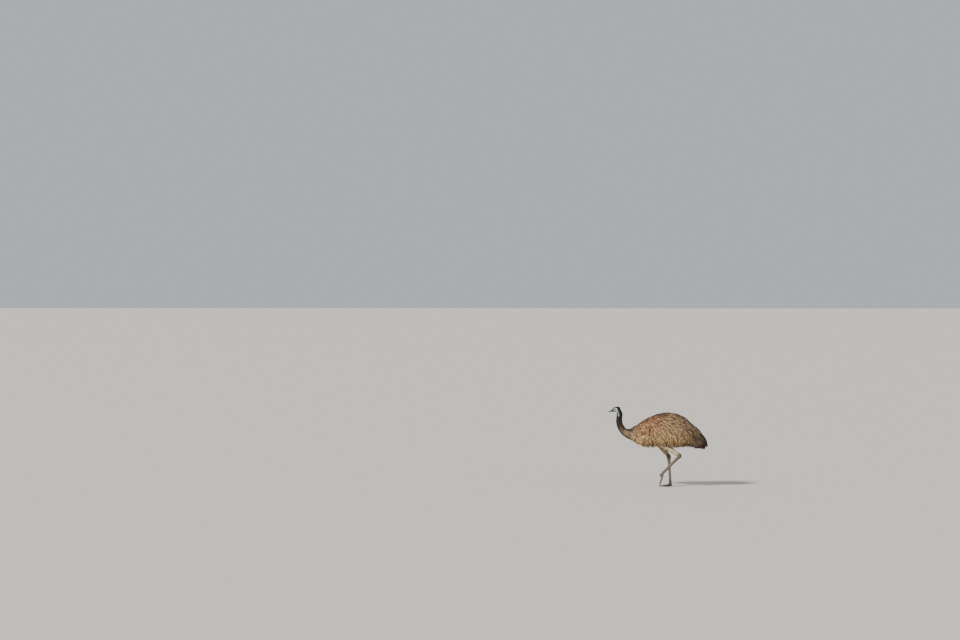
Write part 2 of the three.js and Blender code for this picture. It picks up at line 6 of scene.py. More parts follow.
import bpy
import numpy as np
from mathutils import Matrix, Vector


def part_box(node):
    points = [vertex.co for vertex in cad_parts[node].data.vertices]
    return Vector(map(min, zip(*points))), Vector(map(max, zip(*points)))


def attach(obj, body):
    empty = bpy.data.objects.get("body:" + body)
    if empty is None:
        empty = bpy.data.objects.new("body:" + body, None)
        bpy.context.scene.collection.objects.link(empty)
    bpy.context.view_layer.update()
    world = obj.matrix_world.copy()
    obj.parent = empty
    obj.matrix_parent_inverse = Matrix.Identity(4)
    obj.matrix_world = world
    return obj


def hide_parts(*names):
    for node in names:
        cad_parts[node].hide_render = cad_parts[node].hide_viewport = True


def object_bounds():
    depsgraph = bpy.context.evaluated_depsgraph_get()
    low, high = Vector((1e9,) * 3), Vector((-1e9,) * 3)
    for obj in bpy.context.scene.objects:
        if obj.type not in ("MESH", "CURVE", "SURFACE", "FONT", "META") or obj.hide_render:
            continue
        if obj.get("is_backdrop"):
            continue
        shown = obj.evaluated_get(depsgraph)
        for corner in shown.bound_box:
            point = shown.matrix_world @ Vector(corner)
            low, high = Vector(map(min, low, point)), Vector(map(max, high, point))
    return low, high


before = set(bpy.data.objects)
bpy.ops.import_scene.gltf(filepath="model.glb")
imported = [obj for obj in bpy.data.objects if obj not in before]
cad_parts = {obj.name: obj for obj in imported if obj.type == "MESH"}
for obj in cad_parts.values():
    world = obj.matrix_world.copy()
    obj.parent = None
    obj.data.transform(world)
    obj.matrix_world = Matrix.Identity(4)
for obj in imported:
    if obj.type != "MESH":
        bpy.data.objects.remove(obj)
cad_low, cad_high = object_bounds()
rng = np.random.default_rng(11)

# Lengths are in millimetres. -X is forward, and the left side is -Y.
HEAD_PLACE = np.array([-575.0, 0, 1068])
HEAD_TIP = math.radians(-9)
EYE_RADIUS = 12.5
EYE_PLACE = np.array([-4.0, 25, 4])
EAR_X, EAR_Z = 27, -7
HEAD_FRONT, BILL_LENGTH = -52.0, 62.0
TOE_JOINT_HEIGHT = 40.0
CLAW_LENGTH = 30.0
SOLE_DEPTH = 1.6
FLOOR_GAP = 0.05
DOWN = np.array([0.0, 0, -1])


def unit(v):
    """Each vector divided by its length."""
    return v / np.maximum(np.linalg.norm(v, axis=-1, keepdims=True), 1e-9)


def smooth(x):
    """0 below 0, 1 above 1, and the cubic 3x^2 - 2x^3 between."""
    x = np.clip(x, 0, 1)
    return x * x * (3 - 2 * x)


def mix(a, b, share):
    """Points or colours: a where the share is 0 and b where it is 1."""
    return a + (b - a) * np.asarray(share, float)[..., None]


def turn_y(p, angle):
    """Points turned about +Y by the right-hand rule."""
    c, s = math.cos(angle), math.sin(angle)
    return p @ np.array([[c, 0, -s], [0, 1, 0], [s, 0, c]])


def turn_z(p, angle):
    """Points turned about +Z by the right-hand rule."""
    c, s = math.cos(angle), math.sin(angle)
    return p @ np.array([[c, s, 0], [-s, c, 0], [0, 0, 1]])


def from_head(p):
    """Points of the head's frame, whose origin is a little behind and below the eyes, in the bird's frame."""
    return turn_y(np.asarray(p, float), HEAD_TIP) + HEAD_PLACE


def to_head(p):
    """Points of the bird's frame in the head's frame."""
    return turn_y(np.asarray(p, float) - HEAD_PLACE, -HEAD_TIP)


# The solids' left eye tells how far the row frame is shifted from the bird's frame.
eye_low, eye_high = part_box("eye_left")
eye_here = np.array((eye_low + eye_high) / 2) * 1000
SHIFT = eye_here - from_head(EYE_PLACE * [1, -1, 1])


def to_row(p):
    """Points of the bird's frame in the row frame, in metres."""
    return (np.asarray(p) + SHIFT) * 0.001


def linear(red, green, blue):
    """The linear colour of a display colour from 0 to 255."""
    c = np.array([red, green, blue]) / 255
    return np.where(c <= 0.04045, c / 12.92, ((c + 0.055) / 1.055) ** 2.4)


def mottle(p, size, seed):
    """A soft pattern from 0 to 1: the mean of eight sine waves of about the given size in turned directions."""
    local = np.random.default_rng(seed)
    ways = unit(local.normal(size=(8, 3))) * (2 * math.pi / size) * local.uniform(0.6, 1.6, (8, 1))
    waves = np.sin(p @ ways.T + local.uniform(0, 6.3, 8))
    return np.clip(0.5 + waves.mean(-1) * 1.4, 0, 1)


# Tubes are the shapes of the body, neck, limbs, toes and bill.
def spline(rows, t):
    """The smooth curve through the rows at t, a row's number: a cubic between two rows, whose slope at each row is
    half the step between the rows on its two sides."""
    rows = np.asarray(rows, float)
    ends = np.vstack([2 * rows[0] - rows[1], rows, 2 * rows[-1] - rows[-2]])
    t = np.clip(np.asarray(t, float), 0, len(rows) - 1)
    i = np.minimum(t.astype(int), len(rows) - 2)
    f = (t - i)[..., None]
    p0, p1, p2, p3 = ends[i], ends[i + 1], ends[i + 2], ends[i + 3]
    a, b = (p2 - p0) / 2, (p3 - p1) / 2
    return p1 + f * (a + f * (3 * (p2 - p1) - 2 * a - b + f * (2 * (p1 - p2) + a + b)))


class Tube:
    """A tube round a curve. Each row is x, y, z and the half sizes up, down and to the sides. Its section is an
    ellipse raised to the bulge's power above and below, 2 being a plain ellipse."""

    def __init__(self, rows, bulge=(2, 2)):
        self.rows = np.asarray(rows, float)
        self.bulge = bulge
        self.last = len(rows) - 1

    def frame(self, t):
        """The smoothed row at t, and the unit directions along the tube, to its side and up from it."""
        here = spline(self.rows, t)
        ahead = np.minimum(t + 1e-3, self.last)
        behind = np.maximum(t - 1e-3, 0)
        along = unit(spline(self.rows, ahead)[..., :3] - spline(self.rows, behind)[..., :3])
        side = unit(np.array([0.0, 1, 0]) - along * along[..., 1:2])
        return here, along, side, np.cross(side, along)

    def at(self, t, angle, grow=0.0, scale=1.0, ahead=0.0):
        """Points of the surface at row t and an angle, 0 at the side and a quarter turn at the top, with the half
        sizes grown and then scaled, moved `ahead` along the tube."""
        t, angle, grow, scale, ahead = np.broadcast_arrays(t, angle, grow, scale, ahead)
        here, along, side, up = self.frame(t)
        c, s = np.cos(angle), np.sin(angle)
        power = np.where(s >= 0, 2 / self.bulge[0], 2 / self.bulge[1])
        across = np.sign(c) * np.abs(c) ** power * (here[..., 5] + grow) * scale
        rise = np.sign(s) * np.abs(s) ** power * (np.where(s >= 0, here[..., 3], here[..., 4]) + grow) * scale
        return here[..., :3] + side * across[..., None] + up * rise[..., None] + along * ahead[..., None]

    def mesh(self, a, b, sides, steps, grow=0.0, start=0.0, end=0.0):
        """A closed mesh from row a to row b, with a dome of the given length at each end."""
        turns = np.linspace(0, math.pi / 2, 6)
        t = np.concatenate([np.full(6, a), np.linspace(a, b, steps + 1), np.full(6, b)])
        scale = np.concatenate([np.sin(turns), np.ones(steps + 1), np.cos(turns)])
        ahead = np.concatenate([-start * np.cos(turns), np.zeros(steps + 1), end * np.sin(turns)])
        angle = np.linspace(0, 2 * math.pi, sides, endpoint=False)
        points = self.at(t[:, None], angle[None, :], grow, scale[:, None], ahead[:, None])
        return points.reshape(-1, 3), grid_faces(len(t), sides)


def grid_faces(rings, sides):
    """The quads between rings of points, each ring closed on itself."""
    row, col = np.meshgrid(np.arange(rings - 1), np.arange(sides), indexing="ij")
    nxt = (col + 1) % sides
    quads = np.stack([row * sides + col, row * sides + nxt, (row + 1) * sides + nxt, (row + 1) * sides + col], -1)
    return quads.reshape(-1, 4)


def join(parts):
    """One set of points and faces from several."""
    points, faces, start = [], [], 0
    for p, f in parts:
        points.append(p)
        faces.append(f + start)
        start += len(p)
    return np.concatenate(points), np.concatenate(faces)


def object_of(name, points, faces, colours=None, bake=None, masks=None):
    """A mesh object from arrays. Colours and masks are kept for each point, and bake is the OFBake map."""
    mesh = bpy.data.meshes.new(name)
    mesh.vertices.add(len(points))
    mesh.vertices.foreach_set("co", np.asarray(points, np.float32).ravel())
    mesh.loops.add(faces.size)
    mesh.loops.foreach_set("vertex_index", faces.astype(np.int32).ravel())
    mesh.polygons.add(len(faces))
    mesh.polygons.foreach_set("loop_start", np.arange(0, faces.size, faces.shape[1], dtype=np.int32))
    mesh.polygons.foreach_set("use_smooth", np.ones(len(faces), bool))
    mesh.update(calc_edges=True)
    if colours is not None:
        rgba = np.hstack([colours, np.ones((len(points), 1))]).astype(np.float32)
        layer = mesh.attributes.new("Tint", "FLOAT_COLOR", "POINT")
        layer.data.foreach_set("color", rgba.ravel())
    for key, values in (masks or {}).items():
        mesh.attributes.new(key, "FLOAT", "POINT").data.foreach_set("value", values.astype(np.float32))
    if bake is not None:
        layer = mesh.uv_layers.new(name="OFBake")
        layer.data.foreach_set("uv", bake[faces.ravel()].astype(np.float32).ravel())
    obj = bpy.data.objects.new(name, mesh)
    bpy.context.scene.collection.objects.link(obj)
    return obj


def fused(parts, cell, rounds):
    """Closed meshes fused into one even surface with cells of the given size, then evened out."""
    points, faces = join(parts)
    rough = object_of("rough", points, faces)
    remesh = rough.modifiers.new("fuse", "REMESH")
    remesh.mode = "VOXEL"
    remesh.voxel_size = cell
    even = rough.modifiers.new("even", "SMOOTH")
    even.iterations = rounds
    even.factor = 0.5
    done = bpy.data.meshes.new_from_object(rough.evaluated_get(bpy.context.evaluated_depsgraph_get()))
    out = np.empty(len(done.vertices) * 3, np.float32)
    done.vertices.foreach_get("co", out)
    quads = np.empty(len(done.loops), np.int32)
    done.loops.foreach_get("vertex_index", quads)
    bpy.data.meshes.remove(done)
    bpy.data.objects.remove(rough)
    return out.reshape(-1, 3).astype(float), quads.reshape(-1, 4)


def normals_of(points, faces):
    """The mean of the normals of the faces round each point."""
    a, b, c, d = (points[faces[:, k]] for k in range(4))
    normal = np.cross(c - a, d - b)
    total = np.zeros_like(points)
    for k in range(4):
        np.add.at(total, faces[:, k], normal)
    return unit(total)


# Body and neck, from the tail's end to the head: x, z, the half sizes up, down and to the sides, and the plumage's
# depth. CORE is the body under its plumage.
BODY_ROWS = np.array([
    [622, 618, 88, 72, 62, 24],
    [572, 657, 120, 104, 108, 28],
    [510, 699, 132, 120, 145, 29],
    [430, 742, 150, 160, 185, 30],
    [298, 788, 212, 222, 222, 30],
    [160, 806, 236, 230, 232, 30],
    [20, 795, 220, 216, 218, 30],
    [-120, 768, 188, 196, 182, 27],
    [-240, 742, 139, 166, 136, 24],
    [-330, 728, 104, 104, 96, 19],
    [-405, 735, 72, 70, 72, 14],
    [-465, 768, 54, 54, 57, 11],
    [-508, 828, 48, 46, 49, 9],
    [-528, 893, 42, 42, 42, 6],
    [-530, 950, 38, 38, 37, 3],
    [-524, 1008, 37, 37, 34, 2],
    [-541, 1060, 34, 31, 30, 0],
], float)
CORE = Tube(
    [[x, 0, z, up - coat, down - coat, side - coat] for x, z, up, down, side, coat in BODY_ROWS],
    (2, 2.5),
)


def coat_depth(t):
    """How thick the plumage is at row t of the body."""
    return spline(BODY_ROWS[:, 5:], t)[..., 0]


# The skull, in the head's frame, from the nape to the root of the bill.
SKULL = Tube([
    [52, 0, 1, 27, 24, 24],
    [36, 0, 0, 35, 31, 31],
    [14, 0, 0, 38, 33, 35],
    [-6, 0, -1, 37, 30, 34],
    [-26, 0, -4, 31, 23, 29],
    [-42, 0, -8, 22, 17, 25],
    [HEAD_FRONT, 0, -11, 15, 13, 22.5],
])

# Legs: knee, hock and toe joint, the foot's turn, the toes' hang and spread in degrees, and the outer toe's side.
LEGS = {
    "left": dict(
        knee=[-60, -108, 670], hock=[316, -104, 436], joint=[52, -100, 166], turn=2, hang=71, spread=22, out=1
    ),
    "right": dict(
        knee=[-105, 100, 736], hock=[163, 50, 416], joint=[184, 24, 40], turn=14, hang=0, spread=30, out=-1
    ),
}
# Toes: the length, the way each spreads and its half width.
TOES = {"inner": (80, -1, 12.5), "middle": (138, 0, 16), "outer": (90, 1, 13)}


def between(p, q, share, *sizes):
    """A tube's row at a share of the way from p to q."""
    return [*(np.array(p, float) * (1 - share) + np.array(q, float) * share), *sizes]


def drumstick_of(leg):
    """The tube of a drumstick. A row is a share of the way from knee to hock, and the half sizes there."""
    rows = [(0, 60, 66, 60), (0.3, 46, 58, 50), (0.6, 37, 45, 39), (0.82, 30, 34, 30), (0.94, 28, 29, 26)]
    return Tube([between(leg["knee"], leg["hock"], *row) for row in rows], (2.1, 2.1))


def shank_of(leg):
    """The tube of a shank, which begins above the hock, inside the feathers, and ends at the toe joint."""
    above = [(0.74, 17, 19, 17), (0.86, 21, 22, 20), (0.93, 26, 26, 23), (0.985, 30, 30, 27)]
    below = [(0.05, 31, 30, 27), (0.14, 23, 23, 21), (0.34, 20, 20, 17.5), (0.66, 19, 19, 17)]
    below += [(0.88, 20.5, 20.5, 19.5), (0.965, 21, 21, 22)]
    rows = [between(leg["knee"], leg["hock"], *row) for row in above]
    return Tube(rows + [between(leg["hock"], leg["joint"], *row) for row in below])


def from_foot(p, leg, swing=0.0):
    """Points of a foot's frame, first swung about its joint, in the bird's frame."""
    p = turn_z(np.asarray(p, float), math.radians(swing))
    p = turn_y(p, math.radians(-leg["hang"]))
    return turn_z(p, math.radians(leg["turn"])) + np.array(leg["joint"], float)


def to_foot(p, leg, swing=0.0):
    """Points of the bird's frame in a foot's frame, before it was swung."""
    p = turn_z(np.asarray(p, float) - np.array(leg["joint"], float), -math.radians(leg["turn"]))
    return turn_z(turn_y(p, math.radians(leg["hang"])), -math.radians(swing))


def toe_of(length, width):
    """The tube of a toe. A row is a share of its length, a half height and a half width. Its underside reaches
    below the floor, where it is cut flat."""
    rows = [(0.13, 20, width + 4), (0.3, 16.5, width), (0.5, 14.5, width + 0.5)]
    rows += [(0.66, 12.5, width - 1.5), (0.84, 11.5, width - 1), (0.97, 8.5, width - 4)]
    return Tube([[-length * s, 0, -TOE_JOINT_HEIGHT + h - SOLE_DEPTH, h * 0.85, h, w] for s, h, w in rows])


def claw_of(length, width):
    """The tube of a claw. A row is a share of its length, the height of its middle above the floor, a half height
    and a half width."""
    w = width * 0.42
    rows = [(-0.1, 10.5, 6, w), (0.25, 10, 5.6, w), (0.6, 7.5, 4.4, w * 0.8), (0.93, 1.8, 2.4, w * 0.45)]
    return Tube([[-(length * 0.97 + CLAW_LENGTH * s), 0, -TOE_JOINT_HEIGHT + z, h, h, w] for s, z, h, w in rows])


WINGS = {
    name: Tube([
        [-196, sign * 122, 730, 30, 30, 18],
        [-176, sign * 143, 682, 30, 26, 15],
        [-148, sign * 148, 634, 24, 20, 11],
        [-126, sign * 142, 588, 12, 10, 7],
    ])
    for name, sign in (("left", -1), ("right", 1))
}

# Colours by place are the same for the skin and for what grows on it.
BLACK = linear(30, 25, 24)
DARK = linear(66, 50, 41)
RUSSET = linear(158, 104, 66)
STRAW = linear(212, 176, 124)
GREY_BROWN = linear(122, 104, 86)
CREAM = linear(222, 200, 160)
BLUE_SKIN = linear(146, 168, 172)
PALE_SKIN = linear(226, 230, 224)
LEG_SKIN = linear(100, 86, 72)
HORN = linear(46, 40, 37)
PALE_HORN = linear(92, 80, 66)
CLAW_ROOT = linear(96, 82, 70)


def plumage_colour(p, t, high):
    """The plumage's colour at places p and rows t. `high` is 1 on the back's middle line and -1 under the belly.
    Flanks are straw, the shoulder russet, back and rump greyer, and the tail's tip and the back's middle line dark.
    The lower fringe is darker as painted shade under the body. The lower neck is grey-brown, darker along nape and
    throat and upwards."""
    upper = smooth((high + 0.1) / 0.7)
    colour = mix(STRAW, GREY_BROWN, upper * 0.55)
    colour = mix(colour, RUSSET, upper * np.exp(-(((t - 7.3) / 1.7) ** 2)) * 0.85)
    colour = mix(colour, GREY_BROWN, smooth((4.6 - t) / 2.6) * 0.85)
    colour = mix(colour, DARK, upper * smooth((5.4 - t) / 1.5) * 0.35)
    colour = mix(colour, DARK, smooth((2.4 - t) / 2.0) * 0.9)
    colour = mix(colour, DARK, smooth((high - 0.9) / 0.09) * 0.65)
    # The lower fringe is darkened here as painted shade under the body.
    colour = mix(colour, DARK, smooth((-0.42 - high) / 0.35) * 0.6 * smooth((9 - t) / 2))
    neck_colour = mix(mix(GREY_BROWN, STRAW, 0.4), DARK, smooth((np.abs(high) - 0.5) / 0.3) * 0.9)
    neck_colour = mix(neck_colour, BLACK, smooth((t - 10.6) / 2.2) * 0.85)
    colour = mix(colour, neck_colour, smooth((t - 8.8) / 1.4))
    return mix(colour, DARK, mottle(p, 70, 3) ** 2 * 0.3)


def neck_dark(t, high):
    """How black the upper neck is: along its nape, down its throat and below its bare patch."""
    nape, throat, below = smooth((high + 0.2) / 0.35), smooth((-high - 0.6) / 0.25), smooth((14.75 - t) / 0.7)
    return np.clip(np.maximum(np.maximum(nape, throat), below), 0, 1)


def neck_skin_colour(p, t, high):
    """Bare pale blue skin on the sides of the upper neck, and black elsewhere."""
    return mix(BLUE_SKIN * (0.85 + 0.3 * mottle(p, 14, 5))[..., None], BLACK, neck_dark(t, high) * 0.95)


def eye_patch(q):
    """1 in a round patch about the eye and 0 away from it, from places in the head's frame."""
    return np.exp(-((np.hypot(q[:, 0] - EYE_PLACE[0], q[:, 2] - EYE_PLACE[2]) / 24) ** 6))


def head_bare(q):
    """Where the head is bare, from its place in the head's frame: round the eye, and down the cheek to the neck."""
    x, side, z = q[:, 0], np.abs(q[:, 1]), q[:, 2]
    cheek = np.exp(-(((x - 13 - 0.3 * (-14 - z)) / 13) ** 4) - ((z + 25) / 31) ** 4)
    return np.clip(eye_patch(q) + cheek, 0, 1) * smooth((side - 12) / 8)


def head_colour(q):
    """Head skin: whitish close round the eye, pale blue on the cheek, and black elsewhere."""
    bare = mix(BLUE_SKIN, PALE_SKIN, eye_patch(q)) * (0.82 + 0.3 * mottle(q, 9, 6))[..., None]
    return mix(BLACK * 1.2, bare, head_bare(q))


def core_place(p):
    """The nearest row of the body's middle line to each point, and how high round it the point lies, 1 to -1."""
    t = np.linspace(0, CORE.last, 161)
    line = spline(CORE.rows, t)[:, :3]
    near = np.argmin(((p[:, None, [0, 2]] - line[None, :, [0, 2]]) ** 2).sum(-1), 1)
    here, along, side, up = CORE.frame(t[near])
    offset = p - here[:, :3]
    return t[near], (offset * up).sum(-1) / np.maximum(np.linalg.norm(offset, axis=-1), 1)


# The skin is one surface of body, neck, head, wings, drumsticks, shanks and feet. It lies inside the solids by the
# depth of the plumage. The head and the legs have finer cells than the body, which the plumage hides.
BODY_CELL, HEAD_CELL, LEG_CELL = 6.0, 1.5, 1.9
body_points, body_faces = fused(
    [CORE.mesh(0, 13.8, 48, 90, grow=-3, start=22, end=20)]
    + [wing.mesh(0, 3, 20, 12, grow=-6, start=6, end=4) for wing in WINGS.values()]
    + [drumstick_of(leg).mesh(0, 4, 28, 20, grow=-9, start=24, end=4) for leg in LEGS.values()],
    BODY_CELL,
    3,
)
body_t, body_high = core_place(body_points)
# The body's skin takes the plumage's colour at 0.55 of its brightness: painted shade deep in the coat, where it
# shows between the feathers.
body_tint = plumage_colour(body_points, body_t, body_high) * 0.55

# Head and upper neck: a brow over a sunk socket, a gape behind the bill, an ear opening with a rim, fine wrinkles
# round the eye and soft folds across the neck. Each is a height in millimetres, outwards from the skull.
skull_points, skull_faces = SKULL.mesh(0, SKULL.last, 56, 60, start=13, end=3)
head_points, head_faces = fused(
    [(from_head(skull_points), skull_faces), CORE.mesh(13.2, CORE.last, 48, 50, end=16)],
    HEAD_CELL,
    6,
)
head_normals = normals_of(head_points, head_faces)
q = to_head(head_points)
x, side, z = q[:, 0], np.abs(q[:, 1]), q[:, 2]
eye_gap = np.linalg.norm(np.stack([x, side, z], -1) - EYE_PLACE, axis=-1)
brow = np.exp(-(((x + 5) / 15) ** 2) - ((z - 17) / 5) ** 2) * smooth((side - 16) / 8) * 2.2
socket = -np.exp(-((eye_gap / 17) ** 4)) * smooth((side - 20) / 6) * 3.0
gape = -np.exp(-(((z + 14 + 0.10 * (x + 52)) / 1.5) ** 2)) * smooth((-14 - x) / 10) * smooth((side - 12) / 6) * 2.0
cheek_fold = np.exp(-(((z + 19) / 4) ** 2)) * smooth((-8 - x) / 10) * smooth((side - 12) / 8) * 1.2
ear_gap = np.hypot(x - EAR_X, (z - EAR_Z) / 1.15)
ear_rim = np.exp(-(((ear_gap - 7.5) / 2.2) ** 2)) * smooth((side - 18) / 8) * 1.8
ear_hole = -np.exp(-((ear_gap / 4.5) ** 2)) * smooth((side - 18) / 8) * 6.0
wrinkles = 0.35 * np.sin(z / 1.1 + 2.5 * mottle(q, 20, 9)) * np.exp(-(((eye_gap - 19) / 6) ** 2))
fold_at = spline(CORE.rows, 14)[2] / 9 + head_points[:, 2] / 3.2 + 3 * mottle(head_points, 40, 8)
neck_folds = 0.7 * np.sin(fold_at) * smooth((1030 - head_points[:, 2]) / 30)
relief = brow + socket + gape + cheek_fold + ear_rim + ear_hole + wrinkles + neck_folds
head_points = head_points + head_normals * relief[:, None]
neck_t, neck_high = core_place(head_points)
on_neck = smooth((spline(CORE.rows, 15)[2] + 24 - head_points[:, 2]) / 26)
head_tint = mix(head_colour(q), neck_skin_colour(head_points, neck_t, neck_high), on_neck)
# The ear opening and the gape are darkened with their depth: painted shade in these hollows.
head_tint = mix(head_tint, BLACK * 0.5, np.clip(-ear_hole / 4 - gape / 2.2, 0, 1))

# Shanks and feet are bare and scaly. Broad plates cross the front of each shank and short ones the top of each toe,
# and each plate is a step that swells and then drops. The hock is a darker, thicker joint.
PLATE_LENGTH, PLATE_HEIGHT = 15.5, 2.2
TOE_PLATE_LENGTH, TOE_PLATE_HEIGHT = 8.5, 1.1
ball, ball_faces = Tube([[s, 0, 0, 1, 1, 1] for s in (-1e-3, 0, 1e-3)]).mesh(0, 2, 24, 2, start=1, end=1)
leg_parts, leg_tints = [], []
for name, leg in LEGS.items():
    shank = shank_of(leg)
    pieces = [shank.mesh(0, shank.last, 32, 60, start=12, end=8)]
    for radius, place, sizes in ((24, [3, 0, -19], [1.06, 0.98, 0.86]), (22, [0, 0, 0], [1, 1, 1])):
        pieces.append((from_foot(ball * radius * sizes + place, leg), ball_faces))
    for length, way, width in TOES.values():
        points, faces = toe_of(length, width).mesh(0, 5, 24, 40, grow=-0.4, start=4, end=4)
        pieces.append((from_foot(points, leg, way * leg["out"] * leg["spread"]), faces))
    points, faces = fused(pieces, LEG_CELL, 4)
    normals = normals_of(points, faces)

    hock, joint = np.array(leg["hock"], float), np.array(leg["joint"], float)
    down_shank = unit(joint - hock)
    along = (points - hock) @ down_shank
    facing = normals @ unit(np.cross([0.0, 1, 0], down_shank))
    reach = np.linalg.norm(joint - hock)
    step = (along / PLATE_LENGTH + 0.15 * np.sin(along / 31)) % 1
    plate = (step**0.7 - 0.85 * (step > 0.93)) * smooth((facing - 0.15) / 0.4)
    plate = plate * smooth((along - 30) / 20) * smooth((reach - 20 - along) / 20)
    lift = plate * PLATE_HEIGHT

    foot_up = (to_foot(points + normals, leg) - to_foot(points, leg))[:, 2]
    for length, way, width in TOES.values():
        local = to_foot(points, leg, way * leg["out"] * leg["spread"])
        ahead = -local[:, 0]
        over_toe = smooth((width + 7 - np.abs(local[:, 1])) / 4) * smooth((ahead - 18) / 8)
        over_toe = over_toe * smooth((length + 8 - ahead) / 6)
        step = (ahead / TOE_PLATE_LENGTH) % 1
        plate = (step**0.7 - 0.85 * (step > 0.9)) * TOE_PLATE_HEIGHT * over_toe * smooth((foot_up - 0.1) / 0.4)
        lift = np.where(over_toe > 0.3, plate, lift)
    points = points + normals * lift[:, None]
    points[:, 2] = np.maximum(points[:, 2], FLOOR_GAP)

    at_hock = np.exp(-((np.linalg.norm(points - hock, axis=-1) / 52) ** 2))
    on_toes = smooth((np.linalg.norm(points - joint, axis=-1) - 30) / 60)
    shade = 0.8 + 0.35 * mottle(points, 26, 12) - 0.25 * np.clip(-lift, 0, 1) - 0.35 * at_hock
    shade = shade - 0.2 * on_toes * (points[:, 2] < joint[2] + 10)
    leg_parts.append((points, faces))
    leg_tints.append(LEG_SKIN * shade[:, None])

skin_points, skin_faces = join([(body_points, body_faces), (head_points, head_faces)] + leg_parts)
skin_tint = np.concatenate([body_tint, head_tint] + leg_tints)
scaly = (np.arange(len(skin_points)) >= len(body_points) + len(head_points)).astype(float)
skin = object_of("skin", to_row(skin_points), skin_faces, skin_tint, masks={"Scaly": scaly})

# The plumage. An emu's feather has two long thin shafts with loose barbs, and hangs like hair. Here it is two or
# three tapered ribbons, combed over the tube it grows on.
PATH_STEPS = 6
ROOT_DEPTH = 2
SAG = 0.12
NEAR = 0.02
BLADE_LEAN = 0.5
MAP_STEP = 0.001
BODY_MAP = (0.0, 0.0, 0.9, 0.6)


def comb(tube, t, angle, length, lie, lift, hang, fall):
    """Paths of feathers over a tube, and the way out of the surface at each point. From its root at row t and an
    angle, a feather takes equal steps along its lie, and rises to its lift. Where hang is 1 it goes straight
    instead, turned down by the share `fall`, and bends down with the square of its length."""
    here_t, here_angle = t.copy(), angle.copy()
    paths, outs = [], []
    for row in range(PATH_STEPS + 1):
        share = row / PATH_STEPS
        here = tube.at(here_t, here_angle)
        along = (tube.at(here_t + NEAR, here_angle) - tube.at(here_t - NEAR, here_angle)) / (2 * NEAR)
        around = (tube.at(here_t, here_angle + NEAR) - tube.at(here_t, here_angle - NEAR)) / (2 * NEAR)
        out = unit(np.cross(around, along))
        inner = spline(tube.rows, here_t)[..., :3]
        out = out * np.where((out * (here - inner)).sum(-1) < 0, -1.0, 1.0)[:, None]
        way = lie(here, out)
        flat = unit(way - out * (way * out).sum(-1)[:, None])
        if row == 0:
            root, root_out, hang_way = here, out, unit(flat * (1 - fall) + DOWN * fall)
        rise = (lift * smooth(share * 1.15) - ROOT_DEPTH)[:, None]
        hanging = root + root_out * rise + hang_way * (length * share)[:, None]
        hanging = hanging + DOWN * (length * share**2 * SAG)[:, None]
        paths.append(mix(here + out * rise, hanging, hang))
        outs.append(unit(mix(out, root_out, hang)))
        aa, ab, bb = (along * along).sum(-1), (along * around).sum(-1), (around * around).sum(-1)
        fa, fb = (flat * along).sum(-1), (flat * around).sum(-1)
        scale = length / PATH_STEPS / np.maximum(aa * bb - ab * ab, 1e-6)
        here_t = np.clip(here_t + (fa * bb - fb * ab) * scale, 0.0, tube.last)
        here_angle = here_angle + (fb * aa - fa * ab) * scale
    return np.stack(paths, 1), np.stack(outs, 1)


def vanes(paths, outs, width, blades, spread, tint, tip, bake_at, short):
    """Feathers as tapered ribbons, side by side and leaning a little, each shorter than its path by up to the share
    `short`. The colour darkens to the tip, and is darker towards the root as painted shade deep in the coat."""
    count, rows = paths.shape[:2]
    share = np.linspace(0, 1, rows)
    profile = np.interp(share, [0, 0.25, 0.6, 0.85, 1], [0.55, 1, 0.95, 0.6, 0.06])
    all_points, all_tints, all_bakes = [], [], []
    for blade in range(blades):
        reach = 1 - short * rng.random(count)
        at = share[None, :] * reach[:, None] * (rows - 1)
        low = np.minimum(at.astype(int), rows - 2)
        part = (at - low)[..., None]
        index = np.arange(count)[:, None]
        line = paths[index, low] * (1 - part) + paths[index, low + 1] * part
        out = unit(outs[index, low] * (1 - part) + outs[index, low + 1] * part)
        along = unit(np.gradient(line, axis=1))
        side = unit(np.cross(out, along))
        place = (blade - (blades - 1) / 2) * spread + rng.normal(0, spread * 0.35, count)
        lean = rng.normal(0, BLADE_LEAN, count)[:, None, None]
        across = side * np.cos(lean) + out * np.sin(lean)
        sway = rng.normal(0, spread * 0.5, count)[:, None] * share**2
        centre = line + side * (place[:, None] * (0.55 + 0.6 * share) + sway)[..., None]
        half = (width * (0.8 + 0.4 * rng.random(count)))[:, None] * profile / 2
        edges = np.stack([centre - across * half[..., None], centre + across * half[..., None]], 2)
        shade = 1 - tip[:, None] * smooth((share - 0.5) / 0.5)
        # Darker towards the root: painted shade deep in the coat.
        shade = shade * (1 + rng.normal(0, 0.10, count))[:, None] * (0.85 + 0.3 * smooth(share * 2))
        tints = np.clip(tint[:, None, :] * shade[..., None], 0.002, 1)
        all_points.append(edges.reshape(-1, 3))
        all_tints.append(np.repeat(tints[:, :, None, :], 2, 2).reshape(-1, 3))
        corners = np.stack(np.broadcast_arrays(np.array([0.0, 1.0])[None, :], (share * 3)[:, None]), -1)
        patch = bake_at[:, None, None, :] + (corners * MAP_STEP)[None] + [blade * 0.0008, 0]
        all_bakes.append(patch.reshape(-1, 2))
    row, first = np.meshgrid(np.arange(rows - 1), np.arange(count * blades) * rows * 2, indexing="ij")
    start = (first + row * 2).ravel()
    faces = np.stack([start, start + 1, start + 3, start + 2], -1)
    return np.concatenate(all_points), faces, np.concatenate(all_tints), np.concatenate(all_bakes)


def scattered(count, weight):
    """Numbers from 0 to 1, as many as count, denser where the weight on an even row of places is greater."""
    total = np.cumsum(weight)
    places = (np.arange(count) + rng.random(count)) / count
    return np.interp(places, total / total[-1], np.linspace(0, 1, len(weight)))


